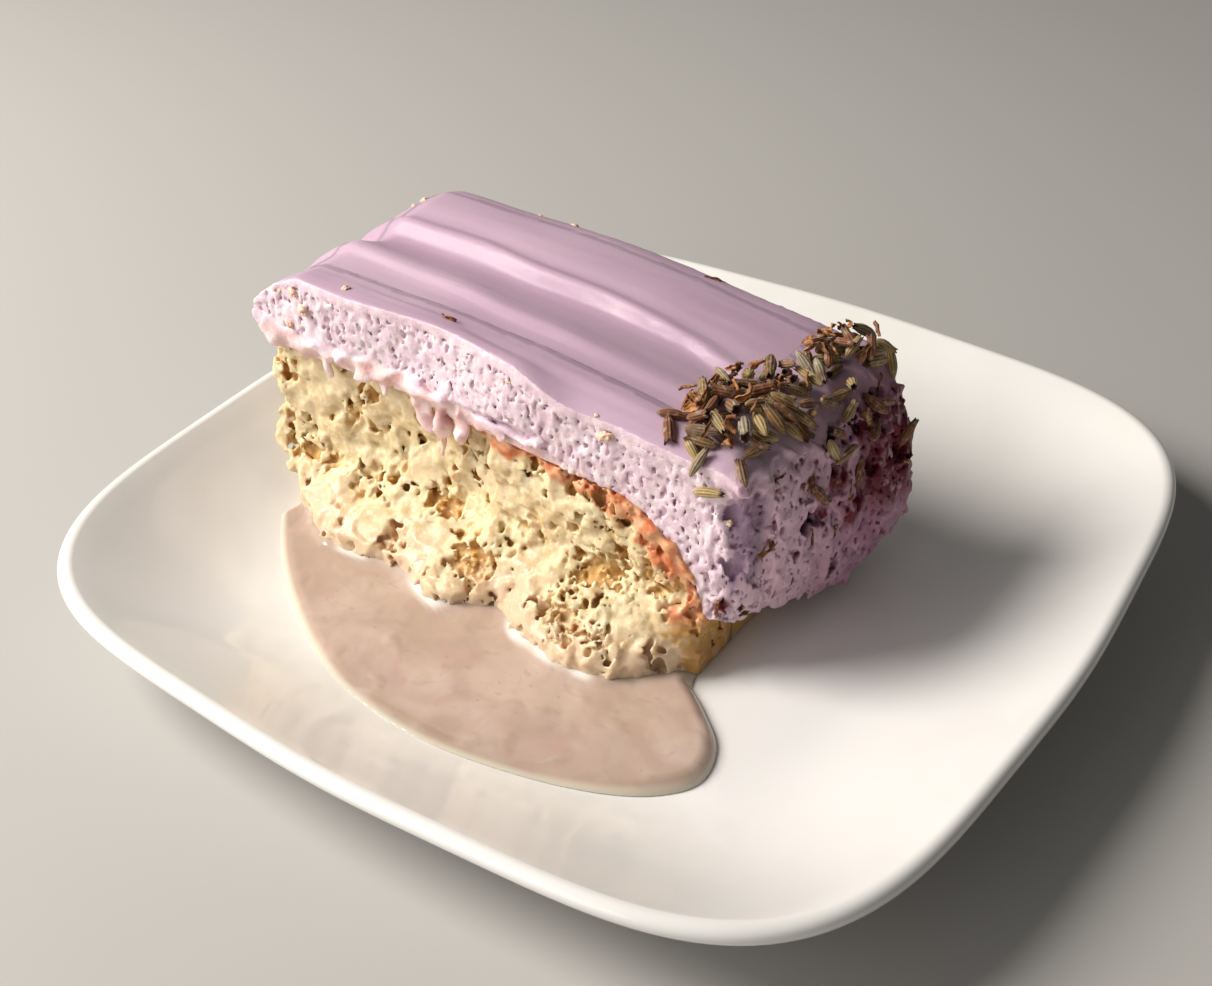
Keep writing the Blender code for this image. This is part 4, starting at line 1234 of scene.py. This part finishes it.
draw = random.Random(LAVENDER_SEED)
heap_heights = scan_heights(cream, HEAP_LOW, HEAP_COLUMNS, HEAP_CELL)
bare_heights = heap_heights.copy()
cream_skin = BVHTree.FromObject(cream, bpy.context.evaluated_depsgraph_get())


def drop_pieces(groups, length, width, shrink, sink):
    """Drop pieces in turn and give each one's place, turn, size and tint."""
    fallen = []
    for count, middle, long_half, wide_half, turn in groups:
        placed = 0
        tries = 0
        turn = math.radians(turn)
        while placed < count and tries < 40 * count:
            tries += 1
            reach = draw.random() ** 0.55
            round_turn = draw.uniform(0, math.tau)
            along = long_half * MM * reach * math.cos(round_turn)
            across = wide_half * MM * reach * math.sin(round_turn)
            x = middle[0] * MM + along * math.cos(turn) - across * math.sin(turn)
            y = middle[1] * MM + along * math.sin(turn) + across * math.cos(turn)
            heading = draw.uniform(0, math.tau)
            size = draw.uniform(*shrink)
            roll = draw.uniform(0, math.tau)
            tint = draw.random()
            found = rest_on(heap_heights, (x, y), heading, length * size, width * size)
            if found is None:
                continue
            (height, slope), cells = found
            cell = (int((x - HEAP_LOW[0]) / HEAP_CELL), int((y - HEAP_LOW[1]) / HEAP_CELL))
            if height - bare_heights[cell] > HIGHEST_BUD or cells[3][cells[2]].max() > HEAP_TOP:
                continue
            cover_cells(heap_heights, cells)
            level = math.atan(slope)
            lie = Euler((roll, -level, heading), "XYZ")
            fallen.append((Vector((x, y, height - sink)), lie, size, tint))
            placed += 1
    return fallen


def stick_on(place, direction, tint, size, lift):
    """Lay a piece against the cream at the nearest place, along a direction."""
    near, normal, _, _ = cream_skin.find_nearest(Vector(place) * MM)
    flat = Vector(direction) - normal * Vector(direction).dot(normal) * 0.8
    lie = flat.to_track_quat("X", "Z").to_euler()
    return near + normal * lift, lie, size, tint


def scatter(kinds, placed, name, finish):
    """Instance the kinds on points by their attributes, and take the whole as one piece."""
    kind_box = bpy.data.collections.new(name + "_kinds")
    for kind in kinds:
        bpy.context.scene.collection.objects.unlink(kind)
        kind_box.objects.link(kind)
    points = shape_object(name + "_points", [place for place, _, _, _ in placed], [])
    turns = points.data.attributes.new("turn", "FLOAT_VECTOR", "POINT")
    turns.data.foreach_set("vector", [angle for _, lie, _, _ in placed for angle in lie])
    give_attribute(points, "size", [size for _, _, size, _ in placed])
    give_attribute(points, "tint", [tint for _, _, _, tint in placed])
    strew, strew_in, strew_out = new_tree("strew_" + name, {"Scale": 1.0})
    strewn = join_node(strew, "GeometryNodeCollectionInfo",
                       {"Collection": kind_box, "Separate Children": True, "Reset Children": True})
    turn = named_value(strew, "turn", "FLOAT_VECTOR")
    size = times(strew, named_value(strew, "size", "FLOAT"), strew_in.outputs["Scale"])
    turned = join_node(strew, "FunctionNodeEulerToRotation", {0: turn}).outputs[0]
    pick = join_node(strew, "FunctionNodeRandomValue", {"Seed": LAVENDER_SEED}, data_type="INT")
    ends = {"Min": 0, "Max": len(kinds) - 1}
    for socket in pick.inputs:
        if socket.type == "INT" and socket.name in ends:
            socket.default_value = ends[socket.name]
    number = [socket for socket in pick.outputs if socket.type == "INT"][0]
    laid = join_node(strew, "GeometryNodeInstanceOnPoints",
                     {"Points": strew_in.outputs[0], "Instance": strewn.outputs[0], "Pick Instance": True,
                      "Instance Index": number, "Rotation": turned, "Scale": size})
    end_tree(strew, laid.outputs[0], finish, strew_out)
    made = grow(points, name, strew, {"Scale": 1.0})
    for kind in kinds:
        bpy.data.objects.remove(kind)
    return made


def bud_finish():
    finish, tree, shader = new_finish("dried_bud", 0.6, IOR=1.4)
    shader.inputs["Sheen Weight"].default_value = 0.15
    tint = attribute(tree, "tint")
    ramp = join_node(tree, "ShaderNodeValToRGB", {"Fac": tint})
    stops = [(0.0, (0.16, 0.08, 0.025)), (0.2, (0.30, 0.17, 0.06)), (0.38, (0.47, 0.35, 0.14)),
             (0.52, (0.36, 0.27, 0.13)), (0.62, (0.36, 0.32, 0.25)), (0.74, (0.27, 0.12, 0.045)),
             (1.0, (0.22, 0.07, 0.025))]
    for position, _ in stops[1:-1]:
        ramp.color_ramp.elements.new(position)
    for element, (position, colour) in zip(ramp.color_ramp.elements, stops):
        element.position = position
        element.color = (*colour, 1)
    # Painted shade: the grooves between the ribs are painted darker
    groove = blend_colours(tree, 1.0, ramp.outputs[0], (0.50, 0.40, 0.30), "MULTIPLY")
    groove_shaded = blend_colours(tree, remap(tree, attribute(tree, "rib"), 0.1, 0.8), groove, ramp.outputs[0])
    pale = blend_colours(tree, 0.35, groove_shaded, (0.62, 0.60, 0.50))
    bloom = blend_colours(tree, remap(tree, grain(tree, 1.1 * MM, 3.0), 0.5, 0.7), groove_shaded, pale)
    rubbed = remap(tree, grain(tree, 2.3 * MM, 2.0), 0.55, 0.75, 0.0, 0.7)
    worn = blend_colours(tree, rubbed, bloom, (0.21, 0.085, 0.035))
    # Painted shade: the inside of the mouth and its rim are painted near black
    mouth_shaded = blend_colours(tree, attribute(tree, "inside"), worn, (0.07, 0.03, 0.018))
    tree.links.new(mouth_shaded, shader.inputs["Base Color"])
    add_bump(tree, shader, grain(tree, 0.35 * MM, 2.0), 0.08 * MM, 0.6)
    return finish


def floret_finish():
    finish, tree, shader = new_finish("dried_floret", 0.55, IOR=1.4)
    tint = attribute(tree, "tint")
    tone = blend_colours(tree, tint, (0.11, 0.032, 0.018), (0.42, 0.165, 0.05))
    spots = remap(tree, grain(tree, 0.9 * MM, 3.0), 0.45, 0.7)
    spotted = blend_colours(tree, spots, tone, (0.50, 0.27, 0.11))
    tree.links.new(spotted, shader.inputs["Base Color"])
    add_bump(tree, shader, grain(tree, 0.3 * MM, 2.0), 0.08 * MM, 0.7)
    return finish


bud_kinds = [bud_kind("plump_bud", BUD_LENGTH, BUD_WIDTH, 0.05, 0.35, 1.0),
             bud_kind("slim_bud", BUD_LENGTH, BUD_WIDTH * 0.85, 0.12, 0.1, 0.95),
             bud_kind("open_bud", BUD_LENGTH * 0.86, BUD_WIDTH, -0.06, 0.75, 0.92)]
fallen_buds = drop_pieces(BUD_GROUPS, BUD_LENGTH, BUD_WIDTH, (0.78, 1.12), 0.25 * MM)
fallen_buds += [stick_on(place, direction, tint, draw.uniform(0.85, 1.05), 0.55 * MM)
                for place, direction, tint in STUCK_BUDS]
buds = scatter(bud_kinds, fallen_buds, "lavender_buds", bud_finish())
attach(buds, "root")
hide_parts("frosting")

FLORET_LENGTH = 3.6 * MM
FLORET_WIDTH = 1.7 * MM
FLORET_GROUPS = [(110, (31.0, -8.0), 14.5, 8.6, 80), (14, (25.0, -12.0), 6.0, 4.0, 80),
                 (16, (36.5, 20.5), 9.0, 4.2, 60)]
# Dark scraps stuck in the torn end: nearest place and heading
STUCK_FLORETS = [((44, -6, 44), (0, 0.3, 1)), ((45, 4, 38), (0, 0.2, -1)), ((46, 9, 35), (0, 0.5, 1)),
                 ((47, 17, 44), (0, 0.7, -1)), ((48, 22, 38), (0, 0.2, 1)), ((47, 14, 50), (0, -0.3, 1)),
                 ((46, 21, 52), (0, 0.4, 1)), ((49, 27, 33), (0, 0.1, 1)), ((44, -2, 30), (0, 0.6, 1)),
                 ((45, 6, 26), (0, 0.3, -1)), ((42, -14, 49), (0, 0.9, -0.4)), ((42.5, -18, 33), (0, 0.5, 1)),
                 ((35, -24, 22), (0.2, 0, 1)), ((38.3, -18.4, 19.5), (0.2, 1, 0.4)),
                 ((-31, -21, 64), (1, -0.2, 0)), ((1, 28, 62), (1, 0.3, 0))]
floret_kinds = [floret_kind("curled_floret", FLORET_LENGTH, FLORET_WIDTH, 2.0),
                floret_kind("torn_floret", FLORET_LENGTH * 0.8, FLORET_WIDTH * 1.1, 7.0),
                floret_kind("thin_floret", FLORET_LENGTH * 1.15, FLORET_WIDTH * 0.55, 11.0)]
fallen_florets = drop_pieces(FLORET_GROUPS, FLORET_LENGTH, FLORET_WIDTH, (0.7, 1.2), 0.1 * MM)
fallen_florets += [stick_on(place, direction, draw.uniform(0, 0.3), draw.uniform(0.8, 1.3), 0.1 * MM)
                   for place, direction in STUCK_FLORETS]
florets = scatter(floret_kinds, fallen_florets, "lavender_florets", floret_finish())
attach(florets, "root")
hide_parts("frosting")


# Stray crumbs
# A few pale crumbs of sponge that stuck to the cream when the piece was cut and lifted. They sit on
# its top near the cut, on its foam and along the far edge.

CRUMB_SIZE = 1.5 * MM
# Nearest places of the crumbs, in millimetres
CRUMB_PLACES = [(-56, -23, 64), (-58.5, -25, 60), (-69, -25, 60), (-66, -26, 57), (-73, -24, 59),
                (-74, 19, 62), (-72, 21, 62), (-45, 30, 63), (-43, 31, 61), (-38, 31, 62),
                (-35, 31, 60), (-71, -26, 52), (8, -25, 57), (10, -26, 53), (-12, -26, 58),
                (38, -23, 44), (-36, 31, 63)]


def crumb_kind(name, size, seed):
    mesh = bmesh.new()
    bmesh.ops.create_icosphere(mesh, subdivisions=4, radius=size / 2)
    for vert in mesh.verts:
        away = vert.co.normalized()
        lump = 1 + 0.5 * noise.noise(away * 1.7 + Vector((seed, 0, 0))) + 0.25 * noise.noise(away * 5.0)
        vert.co = Vector((away.x * 1.25, away.y, away.z * 0.75)) * size / 2 * lump
    made = object_of(mesh, name)
    made.data.shade_smooth()
    return made


def pale_crumb_finish():
    finish, tree, shader = new_finish("pale_crumb", 0.5, Subsurface_Weight=0.3, Subsurface_Scale=0.002)
    tone = blend_colours(tree, attribute(tree, "tint"), (0.78, 0.58, 0.42), (0.80, 0.66, 0.50))
    patches = remap(tree, grain(tree, 0.9 * MM, 2.0), 0.4, 0.65)
    patched = blend_colours(tree, patches, tone, (0.72, 0.47, 0.36))
    tree.links.new(patched, shader.inputs["Base Color"])
    add_bump(tree, shader, grain(tree, 0.4 * MM, 2.0), 0.1 * MM, 0.7)
    return finish


crumb_kinds = [crumb_kind("round_crumb", CRUMB_SIZE, 1.0), crumb_kind("long_crumb", CRUMB_SIZE * 1.3, 4.0),
               crumb_kind("fine_crumb", CRUMB_SIZE * 0.7, 9.0)]
lying = [stick_on(place, (draw.uniform(-1, 1), draw.uniform(-1, 1), 0.2), draw.random(),
                  draw.uniform(0.7, 1.3), -0.1 * MM) for place in CRUMB_PLACES]
crumbs_strewn = scatter(crumb_kinds, lying, "stray_crumbs", pale_crumb_finish())
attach(crumbs_strewn, "root")
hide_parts("frosting")
